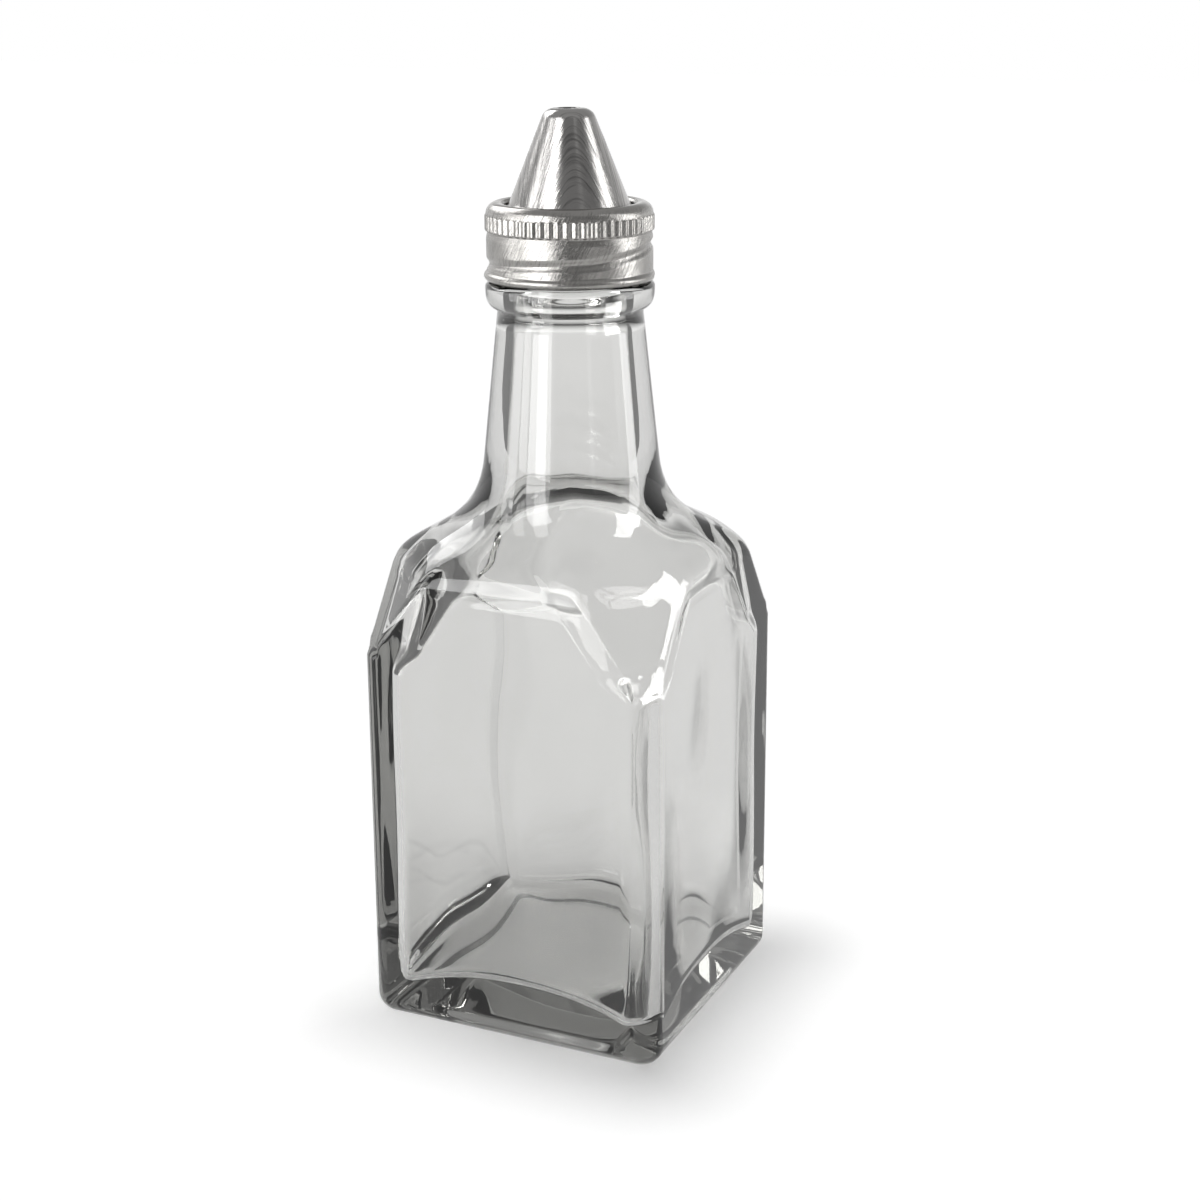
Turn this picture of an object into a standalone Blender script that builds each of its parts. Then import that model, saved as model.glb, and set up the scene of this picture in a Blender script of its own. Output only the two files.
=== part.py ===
"""Square glass oil bottle with a screwed-on pouring cone.

Four separate pieces: the moulded glass bottle with its threaded finish, the
sealing washer, the pressed pouring cone and the knurled screw band that holds
the cone down. Lengths are in metres, +Z is up and the origin lies on the
bottle's axis, on the surface that the bottle stands on.
"""

import math

import bmesh
import bpy
from mathutils import Vector

# Glass body: a square with draft, whose corners open into facets
BODY_WIDTH = 0.0562
BODY_DRAFT = 0.00024
CORNER_RADIUS = 0.0042
BASE_EDGE_RADIUS = 0.0037
STRAIGHT_HEIGHT = 0.0708
FACET_RISE = 0.0125
FACET_TIP_DROP = 0.0025
PANEL_TOP_WIDTH = 0.0301
SHOULDER_RISE = 0.0180
SHOULDER_EDGE_DROP = 0.0017

# Recess moulded into the underside, inside the ring that the bottle stands on
STANDING_RING_WIDTH = 0.0050
BASE_RECESS_DEPTH = 0.0008
BASE_RECESS_SLOPE_WIDTH = 0.0020

# Neck, bead and threaded finish
NECK_BASE_DIAMETER = 0.0305
NECK_LENGTH = 0.0252
FINISH_DIAMETER = 0.0250
BEAD_LOWER_RISE = 0.0037
BEAD_UPPER_RISE = 0.0011
BEAD_PROJECTION = 0.0020
FINISH_HEIGHT = 0.0102
LIP_EDGE_RADIUS = 0.0008
THREAD_PITCH = 0.00423
THREAD_TURNS = 1.3
THREAD_BEAD_RADIUS = 0.0009
THREAD_PROJECTION = 0.00105
THREAD_DROP_BELOW_LIP = 0.0019

# Space inside the glass
WALL_THICKNESS = 0.0040
FACET_WALL = 0.0080
CAVITY_FACET_LEAD = 0.0060
SHOULDER_WALL = 0.0034
NECK_WALL = 0.0029
CAVITY_CORNER_RADIUS = 0.0034
FLOOR_THICKNESS = 0.0095
FLOOR_CORNER_DROP = 0.0055
FLOOR_EDGE_RADIUS = 0.0035

# Washer, cone and band, stacked on the lip
SEAT_GAP = 0.0003
WASHER_THICKNESS = 0.0010
WASHER_BORE_CLEARANCE = 0.0003
CONE_WALL = 0.0005
CONE_HEIGHT = 0.0169
CONE_FOOT_DIAMETER = 0.0210
CONE_TIP_RADIUS = 0.0024
CONE_HALF_ANGLE = math.radians(23.5)
CONE_FOOT_FILLET = 0.0008
CONE_FLANGE_DIAMETER = 0.0256
POUR_HOLE_DIAMETER = 0.0035

BAND_WALL = 0.00035
BAND_CLEARANCE = 0.0003
BAND_TOP_EDGE_RADIUS = 0.0019
BAND_LIP_DROP = 0.0004
BAND_LIP_REACH = 0.0007
KNURL_HEIGHT = 0.0030
KNURL_DEPTH = 0.0003
KNURL_RAISE = 0.0002
KNURL_RIBS = 60
KNURL_END_CHAMFER = 0.0003
NECKED_HEIGHT = 0.0010
NECKED_DEPTH = 0.00025
CURL_HEIGHT = 0.0016
CURL_RAISE = 0.0005
ROLLED_THREAD_DEPTH = 0.0005
ROLLED_THREAD_WIDTH = 0.0024
ROLLED_THREAD_TURNS = 1.2

# Shares chosen by eye: where the shoulder and the bead bend, and how the rows lie
SHOULDER_START_SHARES = (1.03, 0.42)
SHOULDER_END_SHARES = (0.12, 0.20)
BEAD_START_SHARES = (0.75, 0.20)
BEAD_END_SHARES = (1.00, 0.40)
NECK_PANEL_SHARE = 0.50
CAVITY_FACET_ROUNDNESS_SHARE = 0.35
FLOOR_RING_SHARE = 0.50
THREAD_TAPER_SHARE = 0.12

# Steps round and along the shapes
PANEL_STEPS = 5
CORNER_STEPS = 3
SHOULDER_STEPS = 9
EDGE_STEPS = 3
LEAD_STEPS = 4
BEAD_STEPS = 4
TURNED_STEPS = 40
THREAD_STEPS = 26
KNURL_CUT_STEPS = 2
SKIRT_STEPS = 8
MERGE_DISTANCE = 0.00001

# Heights and radii that follow from the sizes above
STATIONS = 4 * (PANEL_STEPS + CORNER_STEPS)
HALF_BASE = BODY_WIDTH / 2
HALF_TOP = HALF_BASE - BODY_DRAFT
PANEL_BASE_HALF = HALF_BASE - CORNER_RADIUS
CAVITY_HALF = HALF_TOP - WALL_THICKNESS
PANEL_TOP_HALF = PANEL_TOP_WIDTH / 2
PANEL_TOP_Z = STRAIGHT_HEIGHT + FACET_RISE
FACET_TIP_Z = STRAIGHT_HEIGHT - FACET_TIP_DROP
SHOULDER_START_Z = PANEL_TOP_Z - SHOULDER_EDGE_DROP
NECK_BASE_Z = PANEL_TOP_Z + SHOULDER_RISE
NECK_TOP_Z = NECK_BASE_Z + NECK_LENGTH
BEAD_MIDDLE_Z = NECK_TOP_Z + BEAD_LOWER_RISE
BEAD_TOP_Z = BEAD_MIDDLE_Z + BEAD_UPPER_RISE
LIP_Z = BEAD_TOP_Z + FINISH_HEIGHT
NECK_BASE_RADIUS = NECK_BASE_DIAMETER / 2
FINISH_RADIUS = FINISH_DIAMETER / 2
BORE_RADIUS = FINISH_RADIUS - NECK_WALL
THREAD_CREST_RADIUS = FINISH_RADIUS + THREAD_PROJECTION

WASHER_Z = LIP_Z + SEAT_GAP
FLANGE_Z = WASHER_Z + WASHER_THICKNESS + SEAT_GAP
FLANGE_TOP_Z = FLANGE_Z + CONE_WALL
FLANGE_RADIUS = CONE_FLANGE_DIAMETER / 2
SKIRT_INNER_RADIUS = THREAD_CREST_RADIUS + BAND_CLEARANCE
SKIRT_RADIUS = SKIRT_INNER_RADIUS + BAND_WALL
BAND_BASE_Z = BEAD_TOP_Z + SEAT_GAP
BAND_TOP_Z = FLANGE_TOP_Z + SEAT_GAP + BAND_LIP_DROP + BAND_WALL


def new_collection(name):
    """Make an empty collection in the scene."""
    collection = bpy.data.collections.new(name)
    bpy.context.scene.collection.children.link(collection)
    return collection


def new_material(name, colour, roughness, metallic=0.0, transmission=0.0):
    """Make a Principled material."""
    material = bpy.data.materials.new(name)
    material.use_nodes = True
    shader = material.node_tree.nodes["Principled BSDF"]
    shader.inputs["Base Color"].default_value = (*colour, 1.0)
    shader.inputs["Roughness"].default_value = roughness
    shader.inputs["Metallic"].default_value = metallic
    shader.inputs["Transmission Weight"].default_value = transmission
    material.diffuse_color = (*colour, 1.0)
    return material


def new_object(name, mesh, collection, material=None, parent=None, height=0.0):
    """Put a mesh into the scene at a height on the bottle's axis."""
    item = bpy.data.objects.new(name, mesh)
    item.location = (0.0, 0.0, height)
    item.parent = parent
    if material:
        mesh.materials.append(material)
    collection.objects.link(item)
    return item


def shade_round(mesh, angle=math.radians(35)):
    """Shade a mesh smooth, with its sharp edges kept."""
    mesh.shade_smooth()
    mesh.set_sharp_from_angle(angle=angle)


def evaluated_mesh(item):
    """Return a copy of an object's mesh with its modifiers applied."""
    bpy.context.view_layer.update()
    graph = bpy.context.evaluated_depsgraph_get()
    return bpy.data.meshes.new_from_object(item.evaluated_get(graph))


def blend(first, second, share):
    """Mix two numbers or vectors by a share of the second."""
    return first * (1 - share) + second * share


def square_ring(z, half, panel_half, roundness):
    """Outline of a square whose corners are flat facets or round arcs.

    Each side is straight over plus and minus panel_half. A corner of
    roundness 0 is a flat facet and one of roundness 1 is an arc.
    """
    quarter = []
    for step in range(PANEL_STEPS):
        quarter.append((half, blend(-panel_half, panel_half, step / PANEL_STEPS)))
    reach = half - panel_half
    for step in range(CORNER_STEPS):
        share = step / CORNER_STEPS
        turn = share * math.pi / 2
        quarter.append((
            panel_half + reach * blend(1 - share, math.cos(turn), roundness),
            panel_half + reach * blend(share, math.sin(turn), roundness),
        ))
    ring = []
    for _ in range(4):
        ring += [Vector((x, y, z)) for x, y in quarter]
        quarter = [(-y, x) for x, y in quarter]
    return ring


def round_ring(z, radius):
    """Circle with the same stations as a square outline."""
    first = -PANEL_STEPS / 2
    turns = [(first + step) * math.tau / STATIONS for step in range(STATIONS)]
    return [Vector((radius * math.cos(turn), radius * math.sin(turn), z)) for turn in turns]


def blended_ring(square, circle, share):
    """Outline that is a square at share 1 and a circle at share 0."""
    return [blend(b, a, share) for a, b in zip(square, circle)]


def edge_turns(steps):
    """Angles through a quarter turn, both ends included."""
    return [step / steps * math.pi / 2 for step in range(steps + 1)]


def cubic_shares(t):
    """Weights of a cubic curve's four points at t."""
    return (1 - t) ** 3, 3 * t * (1 - t) ** 2, 3 * t * t * (1 - t), t ** 3


def shoulder_curve():
    """Square share and height share along the shoulder, from edge to neck."""
    points = []
    for step in range(1, SHOULDER_STEPS + 1):
        a, b, c, d = cubic_shares(step / SHOULDER_STEPS)
        square_share = a + b * SHOULDER_START_SHARES[0] + c * SHOULDER_END_SHARES[0]
        height_share = b * SHOULDER_START_SHARES[1] + c * SHOULDER_END_SHARES[1] + d
        points.append((square_share, height_share))
    return points


def bead_curve():
    """Shares of the bead's projection and lower rise, from the neck outwards."""
    points = []
    for step in range(1, BEAD_STEPS + 1):
        _, b, c, d = cubic_shares(step / BEAD_STEPS)
        out_share = b * BEAD_START_SHARES[0] + c * BEAD_END_SHARES[0] + d
        height_share = b * BEAD_START_SHARES[1] + c * BEAD_END_SHARES[1] + d
        points.append((out_share, height_share))
    return points


def base_rings():
    """Underside of the bottle, from the recess out to the rounded edge."""
    ring_half = HALF_BASE - BASE_EDGE_RADIUS
    recess_half = ring_half - STANDING_RING_WIDTH
    ceiling_half = recess_half - BASE_RECESS_SLOPE_WIDTH
    corner = CORNER_RADIUS
    rings = [
        square_ring(BASE_RECESS_DEPTH, ceiling_half, ceiling_half - corner, 1.0),
        square_ring(0.0, recess_half, recess_half - corner, 1.0),
    ]
    for turn in edge_turns(EDGE_STEPS):
        inset = BASE_EDGE_RADIUS * (1 - math.sin(turn))
        z = BASE_EDGE_RADIUS * (1 - math.cos(turn))
        panel_half = min(PANEL_BASE_HALF, ring_half)
        rings.append(square_ring(z, HALF_BASE - inset, panel_half, 1.0))
    return rings


def outer_panel_half(z):
    """Half the width of a flat side, which the facets narrow towards the top."""
    if z <= STRAIGHT_HEIGHT:
        return PANEL_BASE_HALF
    if z <= PANEL_TOP_Z:
        return blend(PANEL_BASE_HALF, PANEL_TOP_HALF, (z - STRAIGHT_HEIGHT) / FACET_RISE)
    top_half = PANEL_TOP_HALF * NECK_PANEL_SHARE
    return blend(PANEL_TOP_HALF, top_half, (z - PANEL_TOP_Z) / SHOULDER_RISE)


def body_rings():
    """Outside of the body and shoulder, from the base edge to the neck."""
    rings = []
    for z, roundness in (
        (FACET_TIP_Z, 1.0),
        (STRAIGHT_HEIGHT, 0.0),
        (SHOULDER_START_Z, 0.0),
    ):
        half = blend(HALF_BASE, HALF_TOP, z / SHOULDER_START_Z)
        rings.append(square_ring(z, half, outer_panel_half(z), roundness))
    for square_share, height_share in shoulder_curve():
        z = blend(SHOULDER_START_Z, NECK_BASE_Z, height_share)
        square = square_ring(z, HALF_TOP, outer_panel_half(z), height_share)
        rings.append(blended_ring(square, round_ring(z, NECK_BASE_RADIUS), square_share))
    return rings


def finish_rings():
    """Outside of the neck: cone, bead, threaded finish wall and lip."""
    rings = [round_ring(NECK_TOP_Z, FINISH_RADIUS)]
    for out_share, height_share in bead_curve():
        z = blend(NECK_TOP_Z, BEAD_MIDDLE_Z, height_share)
        rings.append(round_ring(z, FINISH_RADIUS + BEAD_PROJECTION * out_share))
    for turn in edge_turns(EDGE_STEPS)[1:]:
        z = BEAD_MIDDLE_Z + BEAD_UPPER_RISE * math.sin(turn)
        rings.append(round_ring(z, FINISH_RADIUS + BEAD_PROJECTION * math.cos(turn)))
    for turn in edge_turns(EDGE_STEPS):
        z = LIP_Z - LIP_EDGE_RADIUS * (1 - math.sin(turn))
        rings.append(round_ring(z, FINISH_RADIUS - LIP_EDGE_RADIUS * (1 - math.cos(turn))))
    return rings


def cavity_panel_half(z):
    """Half the width of the inner flat sides, which the facets narrow."""
    facet_inset = FACET_WALL * math.sqrt(2) - WALL_THICKNESS
    return min(outer_panel_half(z) - facet_inset, CAVITY_HALF - CAVITY_CORNER_RADIUS)


def floor_ring(z, half, panel_half):
    """Outline on the inner floor, which sinks towards its corners."""
    ring = square_ring(z, half, panel_half, 1.0)
    for point in ring:
        point.z -= FLOOR_CORNER_DROP * (point.x * point.y / CAVITY_HALF ** 2) ** 2
    return ring


def cavity_rings():
    """Space inside the glass, from the lip down to the floor."""
    half = CAVITY_HALF
    corner_panel_half = half - CAVITY_CORNER_RADIUS
    rings = []
    for turn in reversed(edge_turns(EDGE_STEPS)):
        z = LIP_Z - LIP_EDGE_RADIUS * (1 - math.sin(turn))
        rings.append(round_ring(z, BORE_RADIUS + LIP_EDGE_RADIUS * (1 - math.cos(turn))))
    rings.append(round_ring(NECK_TOP_Z, BORE_RADIUS))
    neck_radius = NECK_BASE_RADIUS * BORE_RADIUS / FINISH_RADIUS
    for square_share, height_share in reversed(shoulder_curve()):
        outer_z = blend(SHOULDER_START_Z, NECK_BASE_Z, height_share)
        z = outer_z - SHOULDER_WALL
        roundness = blend(CAVITY_FACET_ROUNDNESS_SHARE, 1.0, height_share)
        square = square_ring(z, half, cavity_panel_half(blend(z, outer_z, height_share)), roundness)
        rings.append(blended_ring(square, round_ring(z, neck_radius), square_share))
    top_z = SHOULDER_START_Z - SHOULDER_WALL
    rings.append(square_ring(top_z, half, cavity_panel_half(top_z), CAVITY_FACET_ROUNDNESS_SHARE))
    for step in range(LEAD_STEPS + 1):
        share = step / LEAD_STEPS
        z = STRAIGHT_HEIGHT - CAVITY_FACET_LEAD * share
        closed_share = share * share * (3 - 2 * share)
        panel_half = blend(cavity_panel_half(z), corner_panel_half, closed_share)
        roundness = blend(CAVITY_FACET_ROUNDNESS_SHARE, 1.0, closed_share)
        rings.append(square_ring(z, half, panel_half, roundness))
    for turn in reversed(edge_turns(EDGE_STEPS)):
        inset = FLOOR_EDGE_RADIUS * (1 - math.sin(turn))
        z = FLOOR_THICKNESS + FLOOR_EDGE_RADIUS * (1 - math.cos(turn))
        rings.append(floor_ring(z, half - inset, corner_panel_half))
    inner_half = FLOOR_RING_SHARE * (half - FLOOR_EDGE_RADIUS)
    rings.append(floor_ring(FLOOR_THICKNESS, inner_half, FLOOR_RING_SHARE * corner_panel_half))
    return rings


def skin_rings(name, rings):
    """Join a stack of outlines into one closed skin, with both ends capped."""
    mesh = bpy.data.meshes.new(name)
    form = bmesh.new()
    rows = [[form.verts.new(point) for point in ring] for ring in rings]
    for low, high in zip(rows, rows[1:]):
        for index in range(STATIONS):
            following = (index + 1) % STATIONS
            form.faces.new((low[index], low[following], high[following], high[index]))
    for row in (rows[0], rows[-1]):
        middle = sum((vert.co for vert in row), Vector()) / STATIONS
        hub = form.verts.new(middle)
        for index in range(STATIONS):
            form.faces.new((hub, row[index], row[(index + 1) % STATIONS]))
    bmesh.ops.recalc_face_normals(form, faces=form.faces)
    form.to_mesh(mesh)
    form.free()
    return mesh


def glass_thread(collection):
    """Bead that winds up the finish, thinned to nothing at both ends."""
    turn_count = int(THREAD_STEPS * THREAD_TURNS)
    centre_radius = THREAD_CREST_RADIUS - THREAD_BEAD_RADIUS
    top_z = LIP_Z - THREAD_DROP_BELOW_LIP
    bottom_z = top_z - THREAD_PITCH * THREAD_TURNS
    curve = bpy.data.curves.new("glass_thread", "CURVE")
    curve.dimensions = "3D"
    curve.bevel_depth = THREAD_BEAD_RADIUS
    curve.bevel_resolution = 2
    curve.use_fill_caps = True
    line = curve.splines.new("POLY")
    line.points.add(turn_count)
    for index, point in enumerate(line.points):
        share = index / turn_count
        turn = share * THREAD_TURNS * math.tau
        end_share = min(share, 1 - share) / THREAD_TAPER_SHARE
        z = blend(bottom_z, top_z, share)
        point.co = (centre_radius * math.cos(turn), centre_radius * math.sin(turn), z, 1.0)
        point.radius = max(min(end_share, 1.0), THREAD_TAPER_SHARE)
    guide = new_object("glass_thread_guide", curve, collection)
    mesh = evaluated_mesh(guide)
    form = bmesh.new()
    form.from_mesh(mesh)
    bmesh.ops.remove_doubles(form, verts=form.verts, dist=MERGE_DISTANCE)
    bmesh.ops.recalc_face_normals(form, faces=form.faces)
    form.to_mesh(mesh)
    form.free()
    thread = new_object("glass_thread_bead", mesh, collection)
    bpy.data.objects.remove(guide)
    thread.hide_render = True
    thread.display_type = "WIRE"
    return thread


def make_bottle(parts, cutters):
    """Glass bottle: body, shoulder, neck, finish, thread and inner space."""
    glass = new_material("clear_glass", (0.93, 0.95, 0.94), 0.02, transmission=1.0)
    rings = base_rings() + body_rings() + finish_rings() + cavity_rings()
    mesh = skin_rings("glass_bottle", rings)
    bottle = new_object("glass_bottle", mesh, parts, glass)
    joint = bottle.modifiers.new("thread", "BOOLEAN")
    joint.operation = "UNION"
    joint.solver = "EXACT"
    joint.object = glass_thread(cutters)
    shade_round(mesh)
    return bottle


def turned_mesh(name, profile, collection, closed=False):
    """Turn a profile of radius and height pairs round the axis."""
    mesh = bpy.data.meshes.new(name)
    count = len(profile)
    edges = [(index, index + 1) for index in range(count - 1)]
    if closed:
        edges.append((count - 1, 0))
    mesh.from_pydata([(radius, 0.0, z) for radius, z in profile], edges, [])
    guide = new_object(name + "_profile", mesh, collection)
    screw = guide.modifiers.new("turn", "SCREW")
    screw.axis = "Z"
    screw.steps = TURNED_STEPS
    screw.render_steps = TURNED_STEPS
    screw.use_merge_vertices = True
    screw.merge_threshold = MERGE_DISTANCE
    turned = evaluated_mesh(guide)
    turned.name = name
    bpy.data.objects.remove(guide)
    return turned


def make_washer(parts, cutters, axis, seat_z):
    """Flat sealing washer between the glass lip and the cone's flange."""
    rubber = new_material("seal_plastic", (0.86, 0.86, 0.83), 0.55)
    inner = BORE_RADIUS + LIP_EDGE_RADIUS + WASHER_BORE_CLEARANCE
    outer = FLANGE_RADIUS
    profile = [
        (inner, WASHER_THICKNESS),
        (outer, WASHER_THICKNESS),
        (outer, 0.0),
        (inner, 0.0),
    ]
    mesh = turned_mesh("sealing_washer", profile, cutters, closed=True)
    shade_round(mesh)
    return new_object("sealing_washer", mesh, parts, rubber, axis, WASHER_Z - seat_z)


def cone_profile():
    """Outside of the cone, from the pouring hole down to the flange's edge."""
    tip_centre_radius = tip_centre()
    hole_radius = POUR_HOLE_DIAMETER / 2
    foot_radius = CONE_FOOT_DIAMETER / 2
    tip_z = CONE_HEIGHT - CONE_TIP_RADIUS
    profile = []
    start = math.asin((hole_radius - tip_centre_radius) / CONE_TIP_RADIUS)
    end = math.pi / 2 - CONE_HALF_ANGLE
    for step in range(2 * EDGE_STEPS + 1):
        turn = blend(start, end, step / (2 * EDGE_STEPS))
        radius = tip_centre_radius + CONE_TIP_RADIUS * math.sin(turn)
        profile.append((radius, tip_z + CONE_TIP_RADIUS * math.cos(turn)))
    fillet_centre = foot_radius + CONE_FOOT_FILLET
    for step in range(EDGE_STEPS + 1):
        turn = blend(end, 0.0, step / EDGE_STEPS)
        radius = fillet_centre - CONE_FOOT_FILLET * math.sin(turn)
        profile.append((radius, CONE_WALL + CONE_FOOT_FILLET * (1 - math.cos(turn))))
    profile.append((FLANGE_RADIUS, CONE_WALL))
    return profile


def tip_centre():
    """Radius at which the rounding of the cone's tip is centred.

    The straight side leaves the foot's fillet and meets the tip's rounding
    with the cone's half angle, so the side's own run gives the radius.
    """
    slope = math.tan(CONE_HALF_ANGLE)
    normal_out = math.cos(CONE_HALF_ANGLE)
    normal_up = math.sin(CONE_HALF_ANGLE)
    foot_radius = CONE_FOOT_DIAMETER / 2 + CONE_FOOT_FILLET * (1 - normal_out)
    foot_z = CONE_WALL + CONE_FOOT_FILLET * (1 - normal_up)
    side_end_z = CONE_HEIGHT - CONE_TIP_RADIUS * (1 - normal_up)
    side_end_radius = foot_radius - (side_end_z - foot_z) * slope
    return side_end_radius - CONE_TIP_RADIUS * normal_out


def make_cone(parts, cutters, axis, seat_z):
    """Pressed pouring cone: rounded tip with a hole, and a flange at the foot."""
    steel = new_material("brushed_steel_cone", (0.62, 0.61, 0.59), 0.28, metallic=1.0)
    mesh = turned_mesh("cone_spout", cone_profile(), cutters)
    shade_round(mesh)
    cone = new_object("cone_spout", mesh, parts, steel, axis, FLANGE_Z - seat_z)
    wall = cone.modifiers.new("wall", "SOLIDIFY")
    wall.thickness = CONE_WALL
    wall.offset = -1.0
    return cone


def band_profile():
    """Outside of the screw band, from the turned-down lip to the bottom curl.

    Returns the profile and the heights of the two rows that carry the knurl.
    """
    height = BAND_TOP_Z - BAND_BASE_Z
    edge_centre_radius = SKIRT_RADIUS - BAND_TOP_EDGE_RADIUS
    edge_centre_z = height - BAND_TOP_EDGE_RADIUS
    lip_radius = edge_centre_radius - BAND_LIP_REACH
    profile = [(lip_radius, height - BAND_LIP_DROP)]
    for turn in edge_turns(2 * EDGE_STEPS):
        radius = edge_centre_radius + BAND_TOP_EDGE_RADIUS * math.sin(turn)
        profile.append((radius, edge_centre_z + BAND_TOP_EDGE_RADIUS * math.cos(turn)))
    knurl_top = edge_centre_z - KNURL_END_CHAMFER
    knurl_bottom = knurl_top - KNURL_HEIGHT + 2 * KNURL_END_CHAMFER
    crest = SKIRT_RADIUS + KNURL_RAISE
    necked_top = knurl_bottom - KNURL_END_CHAMFER
    necked_bottom = necked_top - NECKED_HEIGHT
    profile += [
        (crest, knurl_top),
        (crest, knurl_bottom),
        (SKIRT_RADIUS - NECKED_DEPTH, necked_top),
        (SKIRT_RADIUS, necked_bottom),
    ]
    for step in range(1, SKIRT_STEPS + 1):
        profile.append((SKIRT_RADIUS, blend(necked_bottom, CURL_HEIGHT, step / SKIRT_STEPS)))
    for step in range(1, EDGE_STEPS + 2):
        share = step / (EDGE_STEPS + 2)
        radius = SKIRT_RADIUS + CURL_RAISE * math.sin(share * math.pi)
        profile.append((radius, CURL_HEIGHT * (1 - share)))
    profile.append((SKIRT_RADIUS, 0.0))
    return profile, (knurl_top, knurl_bottom)


def knurl_band(form, knurl_rows):
    """Cut the knurl's rows finer and draw in every second point."""
    def on_row(vert):
        return any(abs(vert.co.z - z) < MERGE_DISTANCE for z in knurl_rows)

    edges = [
        edge for edge in form.edges
        if on_row(edge.verts[0]) and abs(edge.verts[0].co.z - edge.verts[1].co.z) < MERGE_DISTANCE
    ]
    bmesh.ops.subdivide_edges(form, edges=edges, cuts=KNURL_CUT_STEPS)
    crest = SKIRT_RADIUS + KNURL_RAISE
    for vert in form.verts:
        if on_row(vert):
            turn = math.atan2(vert.co.y, vert.co.x)
            radius = crest - KNURL_DEPTH * (1 - math.cos(turn * KNURL_RIBS)) / 2
            vert.co.xy = (radius * math.cos(turn), radius * math.sin(turn))


def roll_thread(form):
    """Press the rolled thread into the skirt, half a pitch under the glass one."""
    glass_bottom_z = LIP_Z - THREAD_DROP_BELOW_LIP - THREAD_PITCH * THREAD_TURNS
    start_z = glass_bottom_z - THREAD_PITCH / 2 - BAND_BASE_Z
    skirt_top_z = BAND_TOP_Z - BAND_BASE_Z - BAND_TOP_EDGE_RADIUS - KNURL_HEIGHT - NECKED_HEIGHT
    for vert in form.verts:
        if not 0.0 < vert.co.z < skirt_top_z:
            continue
        turn = math.atan2(vert.co.y, vert.co.x) % math.tau
        depth = 0.0
        for lap in range(math.ceil(ROLLED_THREAD_TURNS)):
            along = turn / math.tau + lap
            ends = min(along, ROLLED_THREAD_TURNS - along) / THREAD_TAPER_SHARE
            offset = (vert.co.z - start_z - along * THREAD_PITCH) / ROLLED_THREAD_WIDTH
            if ends > 0 and abs(offset) < 1 / 2:
                press = (1 + math.cos(math.tau * offset)) / 2
                depth = max(depth, ROLLED_THREAD_DEPTH * min(ends, 1.0) * press)
        length = vert.co.xy.length
        vert.co.xy *= (length - depth) / length


def make_band(parts, cutters, axis, seat_z):
    """Knurled screw band with its rolled thread, turned-down lip and curl."""
    steel = new_material("satin_steel_band", (0.64, 0.63, 0.60), 0.25, metallic=1.0)
    profile, knurl_rows = band_profile()
    mesh = turned_mesh("screw_band", profile, cutters)
    form = bmesh.new()
    form.from_mesh(mesh)
    knurl_band(form, knurl_rows)
    roll_thread(form)
    form.to_mesh(mesh)
    form.free()
    shade_round(mesh)
    band = new_object("screw_band", mesh, parts, steel, axis, BAND_BASE_Z - seat_z)
    wall = band.modifiers.new("wall", "SOLIDIFY")
    wall.thickness = BAND_WALL
    wall.offset = -1.0
    return band


def main():
    """Build the bottle and its cap."""
    for item in list(bpy.data.objects):
        bpy.data.objects.remove(item)
    parts = new_collection("square_oil_bottle")
    cutters = new_collection("cutters")
    make_bottle(parts, cutters)
    axis = bpy.data.objects.new("cap_axis", None)
    axis.location = (0.0, 0.0, LIP_Z)
    parts.objects.link(axis)
    make_washer(parts, cutters, axis, LIP_Z)
    make_cone(parts, cutters, axis, LIP_Z)
    make_band(parts, cutters, axis, LIP_Z)


main()
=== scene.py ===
"""Looks of a square glass oil bottle with a screwed-on pouring cone.

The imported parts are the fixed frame. Each of them is stood for by a finer piece
of the same form: the moulded glass, the sealing washer, the pressed cone and the
knurled screw band. Lengths are in metres, +Z is up and the origin lies on the
bottle's axis, on the surface that the bottle stands on.
"""

import logging
import math
from dataclasses import dataclass, field, fields
from enum import Enum

import bpy
import numpy as np
from mathutils import Matrix, Vector


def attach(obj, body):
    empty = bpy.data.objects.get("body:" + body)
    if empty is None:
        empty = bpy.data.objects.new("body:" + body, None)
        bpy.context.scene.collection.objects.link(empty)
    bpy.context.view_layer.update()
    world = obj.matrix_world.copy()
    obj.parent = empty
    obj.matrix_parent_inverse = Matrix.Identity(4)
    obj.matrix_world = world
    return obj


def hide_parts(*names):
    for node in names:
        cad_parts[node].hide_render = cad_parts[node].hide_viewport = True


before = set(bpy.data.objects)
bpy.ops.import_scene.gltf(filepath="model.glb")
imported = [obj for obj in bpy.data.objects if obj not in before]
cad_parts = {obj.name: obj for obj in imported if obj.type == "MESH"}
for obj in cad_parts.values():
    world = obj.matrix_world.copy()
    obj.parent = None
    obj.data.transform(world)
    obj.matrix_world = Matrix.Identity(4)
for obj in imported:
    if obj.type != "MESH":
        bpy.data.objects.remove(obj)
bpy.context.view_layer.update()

LOG = logging.getLogger("oil_bottle")
QUARTER = math.pi / 2
BEND_REACH_SHARE = 0.49
LEAST_RADIUS = 1e-9
WHITE = (1.0, 1.0, 1.0, 1.0)

Number = float | np.ndarray
Pair = tuple[float, float]
Triple = tuple[float, float, float]


# Numbers and curves

def blend(first: "Number | Wire", second: "Number | Wire", share: "Number | Wire") -> "Number | Wire":
    """Mix two numbers, arrays or wires by a share of the second."""
    return first * (1 - share) + second * share


def smooth(low: float, high: float, value: Number) -> Number:
    """Rise from 0 at low to 1 at high, level at both ends."""
    share = np.clip((value - low) / (high - low), 0.0, 1.0)
    return share * share * (3 - 2 * share)


def steps(low: float, high: float, count: int, ends: bool = False) -> np.ndarray:
    """Even steps from low towards high, with high itself only if ends is set."""
    return np.linspace(low, high, count, endpoint=ends)


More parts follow.
